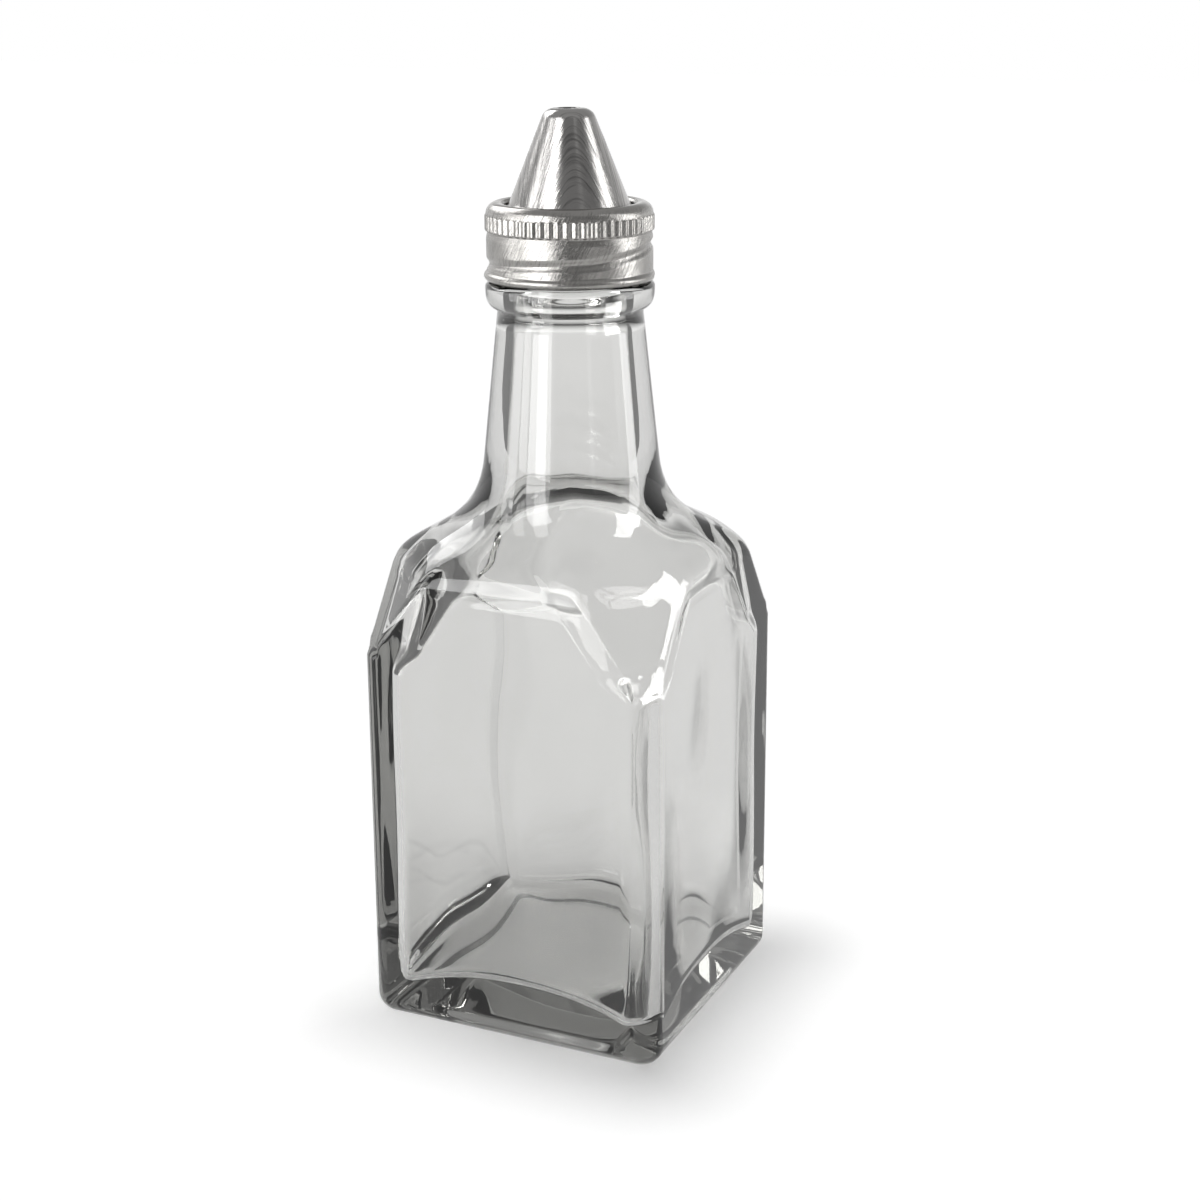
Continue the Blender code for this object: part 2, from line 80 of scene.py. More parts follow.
def bent(start: np.ndarray, middle: np.ndarray, end: np.ndarray, t: np.ndarray) -> np.ndarray:
    """Points at shares t of a bend from start to end that leans to the middle.

    Args:
        start: point P at which the bend starts.
        middle: point C that it leans to.
        end: point Q at which the bend ends.
        t: the shares, from 0 to 1.

    Returns:
        The points (1-t)^2 P + 2 t (1-t) C + t^2 Q.
    """
    return (1 - t) ** 2 * start + 2 * t * (1 - t) * middle + t * t * end


def rounded_profile(corners: list[Triple], bend_steps: int = 6) -> np.ndarray:
    """Profile of straight runs whose corners are rounded off.

    A corner becomes a bend that leans to it. The bend's ends lie on the two
    runs at the corner's rounding length, which is cut to under half of each.

    Args:
        corners: radius, height and rounding length of each corner in turn.
        bend_steps: points on each rounding.

    Returns:
        The profile's points, an array of radius and height.
    """
    spots = np.array(corners, float)
    points = [spots[:1, :2]]
    t = np.linspace(0.0, 1.0, bend_steps)[:, None]
    for before, here, after in zip(spots, spots[1:], spots[2:]):
        back = before[:2] - here[:2]
        ahead = after[:2] - here[:2]
        longest = BEND_REACH_SHARE * min(np.hypot(*back), np.hypot(*ahead))
        reach = min(here[2], longest)
        start = here[:2] + back / np.hypot(*back) * reach
        end = here[:2] + ahead / np.hypot(*ahead) * reach
        points.append(bent(start, here[:2], end, t))
    points.append(spots[-1:, :2])
    return np.vstack(points)


def even_profile(profile: np.ndarray, longest: float) -> np.ndarray:
    """Cut a profile's long runs into even steps.

    A run of length l becomes ceil(l / longest) steps.

    Args:
        profile: radius and height of each point.
        longest: the longest step.

    Returns:
        The profile with its added points.
    """
    lengths = np.hypot(*np.diff(profile, axis=0).T)
    counts = np.maximum(1, np.ceil(lengths / longest)).astype(int)
    places = np.concatenate([
        index + np.arange(count) / count for index, count in enumerate(counts)
    ] + [[len(counts)]])
    spots = np.arange(len(profile))
    return np.stack([np.interp(places, spots, profile[:, axis]) for axis in (0, 1)], axis=1)


def inner_profile(profile: np.ndarray, wall: float) -> np.ndarray:
    """Profile moved sideways by a wall's thickness.

    With d the profile's direction of unit length, each point moves by the
    wall times (d_z, -d_r), which is to the right of that direction.

    Args:
        profile: radius and height of each point.
        wall: thickness, negative to move it to the left.

    Returns:
        The moved profile.
    """
    along = np.gradient(profile, axis=0)
    along /= np.hypot(along[:, 0], along[:, 1])[:, None]
    return profile + wall * np.stack([along[:, 1], -along[:, 0]], axis=1)


def turned_grid(profile: np.ndarray, columns: int) -> np.ndarray:
    """Grid of a profile carried round the axis.

    The point at angle a and profile place s is (r(s) cos a, r(s) sin a, z(s)).

    Args:
        profile: radius and height of each row.
        columns: steps round the axis.

    Returns:
        An array of rows, columns and x, y, z.
    """
    turn = np.arange(columns) * math.tau / columns
    radius = profile[:, :1]
    height = np.repeat(profile[:, 1:], columns, axis=1)
    return np.stack([radius * np.cos(turn), radius * np.sin(turn), height], axis=2)


def push_out(grid: np.ndarray, amount: np.ndarray) -> np.ndarray:
    """Move each point of a grid away from the axis by its own amount.

    Args:
        grid: array of rows, columns and x, y, z.
        amount: distance for each point, inwards where it is negative.

    Returns:
        The moved grid.
    """
    radius = np.hypot(grid[..., 0], grid[..., 1])
    share = (radius + amount) / np.maximum(radius, LEAST_RADIUS)
    return np.stack([grid[..., 0] * share, grid[..., 1] * share, grid[..., 2]], axis=2)


def grid_piece(name: str, grid: np.ndarray, ring: bool) -> bpy.types.Object:
    """Object with a closed mesh over a grid that wraps round the axis.

    A face joins the points (row, column), (row, column + 1), (row + 1,
    column + 1) and (row + 1, column), so a grid whose rows run up its outside
    faces outwards. The rows close on themselves in a ring, or else each end
    closes in a pole at the middle of its row.

    Args:
        name: name of the object and its mesh.
        grid: array of rows, columns and x, y, z.
        ring: whether the last row joins the first.

    Returns:
        The new object, linked into the scene.
    """
    rows, columns = grid.shape[:2]
    points = grid.reshape(-1, 3)
    spot = np.arange(rows * columns).reshape(rows, columns)
    low = spot if ring else spot[:-1]
    high = np.roll(spot, -1, axis=0) if ring else spot[1:]
    quads = np.stack([low, np.roll(low, -1, 1), np.roll(high, -1, 1), high], axis=2)
    quads = quads.reshape(-1, 4)
    caps = np.empty((0, 3), int)
    if not ring:
        points = np.vstack([points, grid[0].mean(0), grid[-1].mean(0)])
        first, last = len(points) - 2, len(points) - 1
        under = np.stack([np.full(columns, first), np.roll(spot[0], -1), spot[0]], axis=1)
        over = np.stack([np.full(columns, last), spot[-1], np.roll(spot[-1], -1)], axis=1)
        caps = np.vstack([under, over])
    mesh = bpy.data.meshes.new(name)
    mesh.vertices.add(len(points))
    mesh.vertices.foreach_set("co", points.astype(np.float32).ravel())
    mesh.loops.add(quads.size + caps.size)
    corners = np.concatenate([quads.ravel(), caps.ravel()])
    mesh.loops.foreach_set("vertex_index", corners.astype(np.int32))
    starts = np.concatenate([np.arange(len(quads)) * 4, quads.size + np.arange(len(caps)) * 3])
    mesh.polygons.add(len(quads) + len(caps))
    mesh.polygons.foreach_set("loop_start", starts.astype(np.int32))
    mesh.polygons.foreach_set("use_smooth", np.ones(len(starts), bool))
    mesh.update(calc_edges=True)
    mesh.validate()
    piece = bpy.data.objects.new(name, mesh)
    bpy.context.scene.collection.objects.link(piece)
    return piece


def place(piece: bpy.types.Object, body: str, node: str, finish: bpy.types.Material) -> None:
    """Dress a piece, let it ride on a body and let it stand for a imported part.

    Args:
        piece: the finished object.
        body: the body that it rides on.
        node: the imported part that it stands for.
        finish: its material.
    """
    piece.data.materials.append(finish)
    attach(piece, body)
    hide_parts(node)
    triangles = sum(len(face.vertices) - 2 for face in piece.data.polygons)
    LOG.info("%s: %d triangles on body %s", piece.name, triangles, body)


# Shader maths

class Wire:
    """An output socket on which Python's operators add Math nodes."""

    def __init__(self, sheet: "Sheet", socket: bpy.types.NodeSocket) -> None:
        """Keep the socket and the sheet that it lies on."""
        self.sheet = sheet
        self.socket = socket

    def __add__(self, other: "Wire | float") -> "Wire":
        """Sum of this value and another."""
        return self.sheet.math("ADD", self, other)

    def __sub__(self, other: "Wire | float") -> "Wire":
        """This value less another."""
        return self.sheet.math("SUBTRACT", self, other)

    def __rsub__(self, other: float) -> "Wire":
        """Another value less this one."""
        return self.sheet.math("SUBTRACT", other, self)

    def __mul__(self, other: "Wire | float") -> "Wire":
        """Product of this value and another."""
        return self.sheet.math("MULTIPLY", self, other)

    __radd__ = __add__
    __rmul__ = __mul__


class Sheet:
    """The nodes of one material or of the world."""

    def __init__(self, tree: bpy.types.NodeTree) -> None:
        """Start from an empty node tree."""
        self.tree = tree
        tree.nodes.clear()

    def node(self, kind: str, settings: dict | None = None, inputs: dict | None = None) -> bpy.types.Node:
        """Add a node, with its settings made before its sockets.

        Args:
            kind: the node's type, without the leading ShaderNode.
            settings: values of its properties.
            inputs: a value or a Wire for each socket, by name or number.

        Returns:
            The new node.
        """
        made = self.tree.nodes.new("ShaderNode" + kind)
        for key, value in (settings or {}).items():
            setattr(made, key, value)
        for key, value in (inputs or {}).items():
            if isinstance(value, Wire):
                self.tree.links.new(value.socket, made.inputs[key])
            else:
                made.inputs[key].default_value = value
        return made

    def link(self, start: bpy.types.Node, end: bpy.types.Node, socket: str | int) -> None:
        """Join a node's first output to a socket of another."""
        self.tree.links.new(start.outputs[0], end.inputs[socket])

    def wire(self, kind: str, output: str | int) -> Wire:
        """Add a node that needs no inputs and take one of its outputs."""
        return Wire(self, self.node(kind).outputs[output])

    def rays(self, *names: str) -> list[Wire]:
        """Outputs of a Light Path node, by name."""
        path = self.node("LightPath")
        return [Wire(self, path.outputs[name]) for name in names]

    def math(self, operation: str, *values: "Wire | float") -> Wire:
        """Value of a Math node on one to three values."""
        made = self.node("Math", {"operation": operation}, dict(enumerate(values)))
        return Wire(self, made.outputs[0])

    def vector(self, operation: str, output: str, *values: object) -> Wire:
        """Output of a Vector Math node on vectors."""
        made = self.node("VectorMath", {"operation": operation}, dict(enumerate(values)))
        return Wire(self, made.outputs[output])

    def scaled(self, colour: Triple, factor: Wire) -> Wire:
        """Colour times a varying factor."""
        made = self.node("VectorMath", {"operation": "SCALE"}, {0: colour, "Scale": factor})
        return Wire(self, made.outputs[0])

    def noise(self, vector: Wire, scale: float, detail: float = 2.0, roughness: float = 0.5) -> Wire:
        """Even noise from 0 to 1 on a vector."""
        inputs = {"Vector": vector, "Scale": scale, "Detail": detail, "Roughness": roughness}
        return Wire(self, self.node("TexNoise", {"noise_dimensions": "3D"}, inputs).outputs[0])

    def lift(self, value: Wire, low: float, high: float, to_low: float = 0.0, to_high: float = 1.0) -> Wire:
        """Carry a value smoothly from one range to another, held at its ends.

        Args:
            value: the value.
            low: start of its range.
            high: end of its range.
            to_low: what the start becomes.
            to_high: what the end becomes.

        Returns:
            The value in its new range.
        """
        settings = {"interpolation_type": "SMOOTHSTEP"}
        inputs = {"Value": value, "From Min": low, "From Max": high, "To Min": to_low, "To Max": to_high}
        return Wire(self, self.node("MapRange", settings, inputs).outputs[0])

    def turned(self, vector: Wire, angles: Triple, scale: Triple) -> Wire:
        """Turn a vector and then stretch it.

        Args:
            vector: the vector.
            angles: turn about x, y and z, in degrees.
            scale: stretch along x, y and z.

        Returns:
            The turned and stretched vector.
        """
        turn = self.node("Mapping", {"vector_type": "POINT"}, {
            "Vector": vector,
            "Rotation": tuple(math.radians(angle) for angle in angles),
        })
        stretch = self.node("VectorMath", {"operation": "MULTIPLY"}, {
            0: Wire(self, turn.outputs[0]),
            1: scale,
        })
        return Wire(self, stretch.outputs[0])

    def bump(self, height: Wire, distance: float, strength: float = 1.0) -> Wire:
        """Normal bent by a height in metres times a distance."""
        inputs = {"Height": height, "Distance": distance, "Strength": strength}
        return Wire(self, self.node("Bump", None, inputs).outputs[0])

    def close(self, shader: bpy.types.Node, volume: bpy.types.Node | None = None) -> None:
        """Join a shader to the material's output.

        Args:
            shader: the surface's shader.
            volume: the shader of the space inside, where there is one.
        """
        end = self.node("OutputMaterial")
        self.link(shader, end, "Surface")
        if volume:
            self.link(volume, end, "Volume")


def new_finish(name: str) -> tuple[bpy.types.Material, Sheet]:
    """Start a material.

    Args:
        name: the material's name.

    Returns:
        The material and its empty sheet of nodes.
    """
    material = bpy.data.materials.new(name)
    material.use_nodes = True
    return material, Sheet(material.node_tree)


# Finishes

@dataclass(frozen=True)
class ClearGlass:
    """Soda glass: clear, faintly grey in depth, with the mould's slight waves."""

    tint: Triple = (1.0, 1.0, 0.992)
    depth_colour: Triple = (0.505, 0.505, 0.49)
    density: float = 44.0
    ior: float = 1.5
    wave_height: float = 0.00003
    wave_scale: float = 90.0
    ripple_height: float = 0.000004
    ripple_scale: float = 420.0
    ripple_stretch: Triple = (1.0, 1.0, 0.35)
    haze_scale: float = 160.0
    haze_range: Pair = (0.3, 0.7)
    haze_tint: float = 0.985
    rough_range: Pair = (0.5, 0.8)
    rough_most: float = 0.012

    def material(self) -> bpy.types.Material:
        """Glass that bends light in slow waves and darkens with its depth.

        Returns:
            The material, with absorption in its volume.
        """
        material, sheet = new_finish("clear_glass")
        spot = sheet.wire("TexCoord", "Object")
        waves = sheet.noise(spot, self.wave_scale, detail=1.0)
        stretched = sheet.turned(spot, (0.0, 0.0, 0.0), self.ripple_stretch)
        ripples = sheet.noise(stretched, self.ripple_scale)
        height = waves * self.wave_height + ripples * self.ripple_height
        haze = sheet.noise(spot, self.haze_scale, detail=3.0)
        clouded = sheet.lift(haze, *self.haze_range, self.haze_tint, 1.0)
        shader = sheet.node("BsdfPrincipled", None, {
            "Base Color": sheet.scaled(self.tint, clouded),
            "Roughness": sheet.lift(haze, *self.rough_range, 0.0, self.rough_most),
            "IOR": self.ior,
            "Transmission Weight": 1.0,
            "Normal": sheet.bump(height, 1.0),
        })
        volume = sheet.node("VolumeAbsorption", None, {
            "Color": (*self.depth_colour, 1.0),
            "Density": self.density,
        })
        sheet.close(shader, volume)
        return material


@dataclass(frozen=True)
class ScratchPass:
    """One pass of an abrasive: the heading that it faces, in degrees, and its slant."""

    heading: float
    slant: float
    pitch: float = 0.00016
    length: float = 0.0090


@dataclass(frozen=True)
class BrushedSteel:
    """Stainless steel with fine scratches from several passes of an abrasive."""

    name: str
    colour: Triple
    roughness: float
    passes: tuple[ScratchPass, ...]
    groove: float = 0.000034
    reach_range: Pair = (0.45, 0.85)
    line_detail: float = 3.0
    line_fineness: float = 0.65
    line_range: Pair = (-0.04, 0.20)
    line_shade: float = 0.55
    line_roughness: float = 0.10
    wear_scale: float = 260.0
    wear_range: Pair = (0.35, 0.7)
    wear_shade: float = 0.06
    wear_roughness: float = 0.07
    grain_scale: float = 9000.0
    grain_height: float = 0.12
    grain_shade: float = 0.04
    # Painted shade on the wall's side that faces the axis, inside the hollow.
    inside_range: Pair = (-0.5, -0.1)
    painted_inside_shade: float = 0.22
    edge_on: bool = False

    def scratches(self, sheet: Sheet, spot: Wire, normal: Wire, one: ScratchPass) -> tuple[Wire, Wire]:
        """Fine lines of one pass and the share of the surface that it reached.

        The lines lie where p . m is constant, for a direction m that has the
        pass's heading and slant, so they are nested arches on a cone.

        Args:
            sheet: the material's nodes.
            spot: position on the piece.
            normal: the surface's own normal.
            one: the pass.

        Returns:
            The noise of the lines and the pass's share.
        """
        facing = math.radians(one.heading)
        reach = sheet.vector("DOT_PRODUCT", "Value", normal, (math.sin(facing), -math.cos(facing), 0.0))
        turned = sheet.turned(spot, (0.0, 0.0, -one.heading), (1.0, 1.0, 1.0))
        along, across = 1 / one.length, 1 / one.pitch
        if self.edge_on:
            leaned = sheet.turned(turned, (0.0, one.slant, 0.0), (across, along, along))
        else:
            leaned = sheet.turned(turned, (one.slant, 0.0, 0.0), (along, across, along))
        lines = sheet.noise(leaned, 1.0, self.line_detail, self.line_fineness)
        return lines, sheet.lift(reach, *self.reach_range)

    def painted_hollow_shade(self, sheet: Sheet, spot: Wire, normal: Wire) -> Wire:
        """Painted shade on the side of the wall that faces into the hollow.

        It follows the dot product of the surface's normal and the direction
        away from the axis.

        Args:
            sheet: the material's nodes.
            spot: position on the piece.
            normal: the surface's own normal.

        Returns:
            1 outside, and the painted shade where the wall faces the axis.
        """
        flat = sheet.vector("MULTIPLY", "Vector", spot, (1.0, 1.0, 0.0))
        away = sheet.vector("NORMALIZE", "Vector", flat)
        side = sheet.vector("DOT_PRODUCT", "Value", away, normal)
        return sheet.lift(side, *self.inside_range, self.painted_inside_shade, 1.0)

    def material(self) -> bpy.types.Material:
        """Steel whose lines change its height, its gloss and its shade, with painted shade where its wall
        faces the axis.

        Returns:
            The material.
        """
        material, sheet = new_finish(self.name)
        spot = sheet.wire("TexCoord", "Object")
        normal = sheet.wire("NewGeometry", "True Normal")
        parts = []
        for one in self.passes:
            lines, share = self.scratches(sheet, spot, normal, one)
            parts.append((lines - 0.5) * share)
        total = sum(parts[1:], parts[0])
        deep = sheet.lift(total, *self.line_range)
        worn = sheet.lift(sheet.noise(spot, self.wear_scale, detail=3.0), *self.wear_range)
        grain = sheet.noise(spot, self.grain_scale, detail=1.0)
        height = total + grain * self.grain_height
        rough = self.roughness + worn * self.wear_roughness + deep * self.line_roughness
        shade = 1.0 - deep * self.line_shade - worn * self.wear_shade + grain * self.grain_shade
        shader = sheet.node("BsdfPrincipled", None, {
            # The base colour carries painted shade where the wall faces the axis.
            "Base Color": sheet.scaled(self.colour, shade * self.painted_hollow_shade(sheet, spot, normal)),
            "Metallic": 1.0,
            "Roughness": rough,
            "Normal": sheet.bump(height, self.groove),
        })
        sheet.close(shader)
        return material


@dataclass(frozen=True)
class SealPlastic:
    """Soft white sealing plastic with a faint grain."""

    colour: Triple = (0.86, 0.86, 0.83)
    grain_scale: float = 3000.0
    grain_height: float = 0.00002
    grain_range: Pair = (0.3, 0.7)
    rough_range: Pair = (0.45, 0.6)
    cloud_scale: float = 300.0
    cloud_low: float = 0.95
    cloud_gain: float = 0.08

    def material(self) -> bpy.types.Material:
        """Plastic with a moulded grain.

        Returns:
            The material.
        """
        material, sheet = new_finish("seal_plastic")
        spot = sheet.wire("TexCoord", "Object")
        grain = sheet.noise(spot, self.grain_scale, detail=3.0)
        cloud = sheet.noise(spot, self.cloud_scale)
        shader = sheet.node("BsdfPrincipled", None, {
            "Base Color": sheet.scaled(self.colour, self.cloud_low + cloud * self.cloud_gain),
            "Roughness": sheet.lift(grain, *self.grain_range, *self.rough_range),
            "Normal": sheet.bump(grain, self.grain_height),
        })
        sheet.close(shader)
        return material


# The bottle

@dataclass
class Rings:
    """Rows of outlines, each between a faceted square and a circle.

    Every field is an array with one value for each row.
    """

    z: np.ndarray
    half: np.ndarray
    panel: np.ndarray
    roundness: np.ndarray
    edge: np.ndarray
    square: np.ndarray
    radius: np.ndarray

    @classmethod
    def run(
        cls, z: Number, half: Number = 0.0, panel: Number = 0.0, roundness: Number = 1.0,
        edge: Number = 0.0, square: Number = 1.0, radius: Number = 0.0,
    ) -> "Rings":
        """Rows from arrays and numbers that are spread to the same length."""
        spread = np.broadcast_arrays(*np.atleast_1d(z, half, panel, roundness, edge, square, radius))
        return cls(*[np.array(values, float) for values in spread])

    @classmethod
    def stack(cls, runs: list["Rings"]) -> "Rings":
        """Several runs of rows, one after another."""
        return cls(*[np.concatenate([getattr(run, one.name) for run in runs]) for one in fields(cls)])


@dataclass(frozen=True)
class Wave:
    """Wave through space: radians for each metre along x, y and z, and a phase."""

    x: float
    y: float
    z: float
    phase: float = 0.0

    def angle(self, grid: np.ndarray) -> np.ndarray:
        """Angle of the wave at each point of a grid, in radians."""
        return grid[..., 0] * self.x + grid[..., 1] * self.y + grid[..., 2] * self.z + self.phase


@dataclass
class GlassBottle:
    """Moulded bottle: square body, faceted shoulder, neck, bead and finish."""

    body_width: float = 0.0562
    body_draft: float = 0.00024
    corner_radius: float = 0.0042
    base_edge_radius: float = 0.0037
    straight_height: float = 0.0708
    facet_rise: float = 0.0125
    facet_tip_drop: float = 0.0025
    panel_top_width: float = 0.0301
    shoulder_rise: float = 0.0180
    shoulder_edge_drop: float = 0.0017
    standing_ring_width: float = 0.0050
    recess_depth: float = 0.0008
    recess_slope_width: float = 0.0020
    neck_base_diameter: float = 0.0305
    neck_length: float = 0.0252
    finish_diameter: float = 0.0250
    bead_lower_rise: float = 0.0037
    bead_upper_rise: float = 0.0011
    bead_projection: float = 0.0020
    bead_crest_share: float = 0.5
    bead_top_share: float = 0.7
    bead_rounding: float = 0.0006
    bead_foot_rise: float = 0.0001
    bead_foot_rounding: float = 0.0003
    bead_foot_end: float = 0.0006
    finish_height: float = 0.0102
    lip_edge_radius: float = 0.0008
    thread_pitch: float = 0.00423
    thread_turns: float = 1.3
    thread_half_width: float = 0.0009
    thread_projection: float = 0.00105
    thread_drop: float = 0.0019
    thread_taper_share: float = 0.12
    threaded_wall_rise: float = 0.0008
    threaded_mask_rise: float = 0.0007
    wall: float = 0.0040
    cavity_corner_radius: float = 0.0034
    shoulder_wall: float = 0.0034
    facet_wall: float = 0.0080
    cavity_facet_lead: float = 0.0060
    cavity_roundness: float = 0.35
    floor_thickness: float = 0.0095
    floor_corner_drop: float = 0.0055
    floor_edge_radius: float = 0.0035
    floor_fade_height: float = 0.022
    wall_waves: tuple[Wave, ...] = (
        Wave(240.0, 0.0, 50.0, 0.6), Wave(0.0, 210.0, -40.0),
        Wave(90.0, 0.0, 150.0, 1.9), Wave(280.0, 330.0, 45.0),
    )
    wave_shares: Pair = (0.6, 0.4)
    recess_pole_share: float = 0.12
    floor_pole_share: float = 0.06
    least_corner: float = 0.0002
    neck_wall: float = 0.0029
    facet_edge: float = 0.0014
    facet_edge_rise: float = 0.002
    least_facet: float = 0.000001
    widest_edge_share: float = 0.45
    least_edge: float = 0.0004
    neck_edge_growth: float = 0.0040
    cavity_wave: float = 0.0003
    shoulder_start: Pair = (1.03, 0.42)
    shoulder_end: Pair = (0.12, 0.20)
    bead_start: Pair = (0.75, 0.20)
    bead_end: Pair = (1.0, 0.40)
    neck_panel_share: float = 0.50
    panel_angle: float = math.radians(28.125)
    panel_steps: int = 26
    bend_steps: int = 8
    corner_steps: int = 22
    shoulder_steps: int = 46
    finish: ClearGlass = field(default_factory=ClearGlass)

    @property
    def half_top(self) -> float:
        """Half the width of the body at the shoulder's edge."""
        return self.body_width / 2 - self.body_draft

    @property
    def panel_base(self) -> float:
        """Half the width of a flat side under the facets."""
        return self.body_width / 2 - self.corner_radius

    @property
    def panel_top_z(self) -> float:
        """Height at which the flat sides end."""
        return self.straight_height + self.facet_rise

    @property
    def shoulder_z(self) -> float:
        """Height at which the sides start to turn into the shoulder."""
        return self.panel_top_z - self.shoulder_edge_drop

    @property
    def neck_z(self) -> float:
        """Height at which the neck leaves the shoulder."""
        return self.panel_top_z + self.shoulder_rise

    @property
    def neck_top_z(self) -> float:
        """Height at which the neck meets the bead."""
        return self.neck_z + self.neck_length

    @property
    def bead_z(self) -> float:
        """Height of the bead's widest line."""
        return self.neck_top_z + self.bead_lower_rise

    @property
    def bead_top_z(self) -> float:
        """Height at which the threaded wall starts."""
        return self.bead_z + self.bead_upper_rise

    @property
    def lip_z(self) -> float:
        """Height of the lip."""
        return self.bead_top_z + self.finish_height

    @property
    def thread_start_z(self) -> float:
        """Height at which the thread starts."""
        return self.lip_z - self.thread_drop - self.thread_pitch * self.thread_turns

    def bead_curve(self, count: int) -> tuple[np.ndarray, np.ndarray]:
        """Shares of the bead's projection and lower rise, a cubic curve of t.

        Both run from 0 to 1, with the bends at bead_start and bead_end.

        Args:
            count: points on the curve.

        Returns:
            The shares of the projection and of the rise.
        """
        t = np.linspace(0.0, 1.0, count)
        b, c, d = 3 * t * (1 - t) ** 2, 3 * t * t * (1 - t), t ** 3
        out = b * self.bead_start[0] + c * self.bead_end[0] + d
        return out, b * self.bead_start[1] + c * self.bead_end[1] + d

    @property
    def bore(self) -> float:
        """Radius of the bore in the threaded finish."""
        return self.finish_diameter / 2 - self.neck_wall

    def shoulder_curve(self, count: int) -> tuple[np.ndarray, np.ndarray]:
        """Square share and height share along the shoulder.

        Both follow a cubic curve of t: the square share from 1 to 0 and the
        height share from 0 to 1, with the bends at shoulder_start and
        shoulder_end.

        Args:
            count: points on the curve, without its start.

        Returns:
            The square shares and the height shares.
        """
        t = np.linspace(0.0, 1.0, count + 1)[1:]
        a, b, c, d = (1 - t) ** 3, 3 * t * (1 - t) ** 2, 3 * t * t * (1 - t), t ** 3
        square = a + b * self.shoulder_start[0] + c * self.shoulder_end[0]
        height = b * self.shoulder_start[1] + c * self.shoulder_end[1] + d
        return square, height

    def round_rows(self, radius: np.ndarray, z: np.ndarray) -> Rings:
        """Rows that are circles, their points spread as at the neck's foot."""
        edge = self.facet_edge + self.neck_edge_growth
        return Rings.run(z, self.half_top, self.panel_half(self.neck_z), 1.0, edge, 0.0, radius)

    def panel_half(self, z: Number) -> Number:
        """Half width of a flat side: level, then narrowed in straight lines.

        Args:
            z: height, or an array of heights.

        Returns:
            The half width at each height.
        """
        top = self.panel_top_width / 2
        knots = [0.0, self.straight_height, self.panel_top_z, self.neck_z]
        return np.interp(z, knots, [self.panel_base, self.panel_base, top, top * self.neck_panel_share])

    @staticmethod
    def next_side(points: np.ndarray) -> np.ndarray:
        """Points and angles turned by a quarter, on to the next side."""
        return np.stack([-points[..., 1], points[..., 0], points[..., 2] + QUARTER], axis=2)

    def outlines(self, rows: Rings) -> np.ndarray:
        """Grid of points over rows of outlines.

        A side runs straight from -panel to +panel at distance half from the
        axis. The corner curve at s is the straight facet mixed with an arc by
        the roundness, and a bend rounds the edge where side and facet meet.
        Each point also has the angle of its partner on the circle, which is
        bent the same way, and the row is the mix of both by the square share.

        Args:
            rows: the outlines, from one end of the skin to the other.

        Returns:
            An array of rows, columns and x, y, z.
        """
        half, panel, roundness = (v[:, None] for v in (rows.half, rows.panel, rows.roundness))
        facet = np.maximum((half - panel) * math.sqrt(2), self.least_facet)
        widest = self.widest_edge_share * np.minimum(facet, panel)
        edge = np.minimum(np.maximum(rows.edge[:, None], self.least_edge), widest)
        corner_angle = QUARTER - 2 * self.panel_angle

        def corner(s: np.ndarray) -> np.ndarray:
            """Points and angles of the corner curve.

            Args:
                s: shares of the way from one side to the next.

            Returns:
                An array of rows, shares and x, y, angle.
            """
            turn = s * QUARTER
            x = panel + (half - panel) * blend(1 - s, np.cos(turn), roundness)
            y = panel + (half - panel) * blend(s, np.sin(turn), roundness)
            return np.stack([x, y, self.panel_angle + s * corner_angle + 0 * x], axis=2)

        def side(share: np.ndarray, reach: np.ndarray) -> np.ndarray:
            """Points and angles of the side at shares of a reach."""
            y = share * reach
            return np.stack([half + 0 * y, y, self.panel_angle * y / panel], axis=2)

        def bend(start: np.ndarray, middle: np.ndarray, end: np.ndarray, path: np.ndarray) -> np.ndarray:
            """Rounding of an edge, mixed with the plain path by the roundness.

            Args:
                start: point at which the rounding starts.
                middle: the edge.
                end: point at which it ends.
                path: the unrounded way.

            Returns:
                An array of rows, steps and x, y, angle.
            """
            t = steps(0.0, 1.0, self.bend_steps)[None, :, None]
            return blend(bent(start, middle, end, t), path, roundness[..., None])

        cut = edge / facet
        one = np.ones((1, 1))
        half_way = steps(0.0, 1.0, self.bend_steps // 2)[None, :]
        flat = side(steps(-1.0, 1.0, self.panel_steps)[None, :], panel - edge)
        into = np.concatenate([
            side(one, panel - edge * (1 - half_way)), corner(cut * half_way),
        ], axis=1)
        first = bend(side(one, panel - edge), side(one, panel), corner(cut), into)
        middle = corner(blend(cut, 1 - cut, steps(0.0, 1.0, self.corner_steps)[None, :]))
        out_of = np.concatenate([
            corner(1 - cut + cut * half_way), self.next_side(side(-one, panel - edge * half_way)),
        ], axis=1)
        meet = self.next_side(side(-one, panel))
        after = self.next_side(side(-one, panel - edge))
        last = bend(corner(1 - cut), meet, after, out_of)
        quarter = np.concatenate([flat, first, middle, last], axis=1)
        turns = []
        x, y, angle = quarter[..., 0], quarter[..., 1], quarter[..., 2]
        for side_number in range(4):
            turns.append(np.stack([x, y, angle + side_number * QUARTER], axis=2))
            x, y = -y, x
        ring = np.concatenate(turns, axis=1)
        share, radius = rows.square[:, None], rows.radius[:, None]
        grid_x = blend(radius * np.cos(ring[..., 2]), ring[..., 0], share)
        grid_y = blend(radius * np.sin(ring[..., 2]), ring[..., 1], share)
        grid_z = np.repeat(rows.z[:, None], grid_x.shape[1], axis=1)
        return np.stack([grid_x, grid_y, grid_z], axis=2)

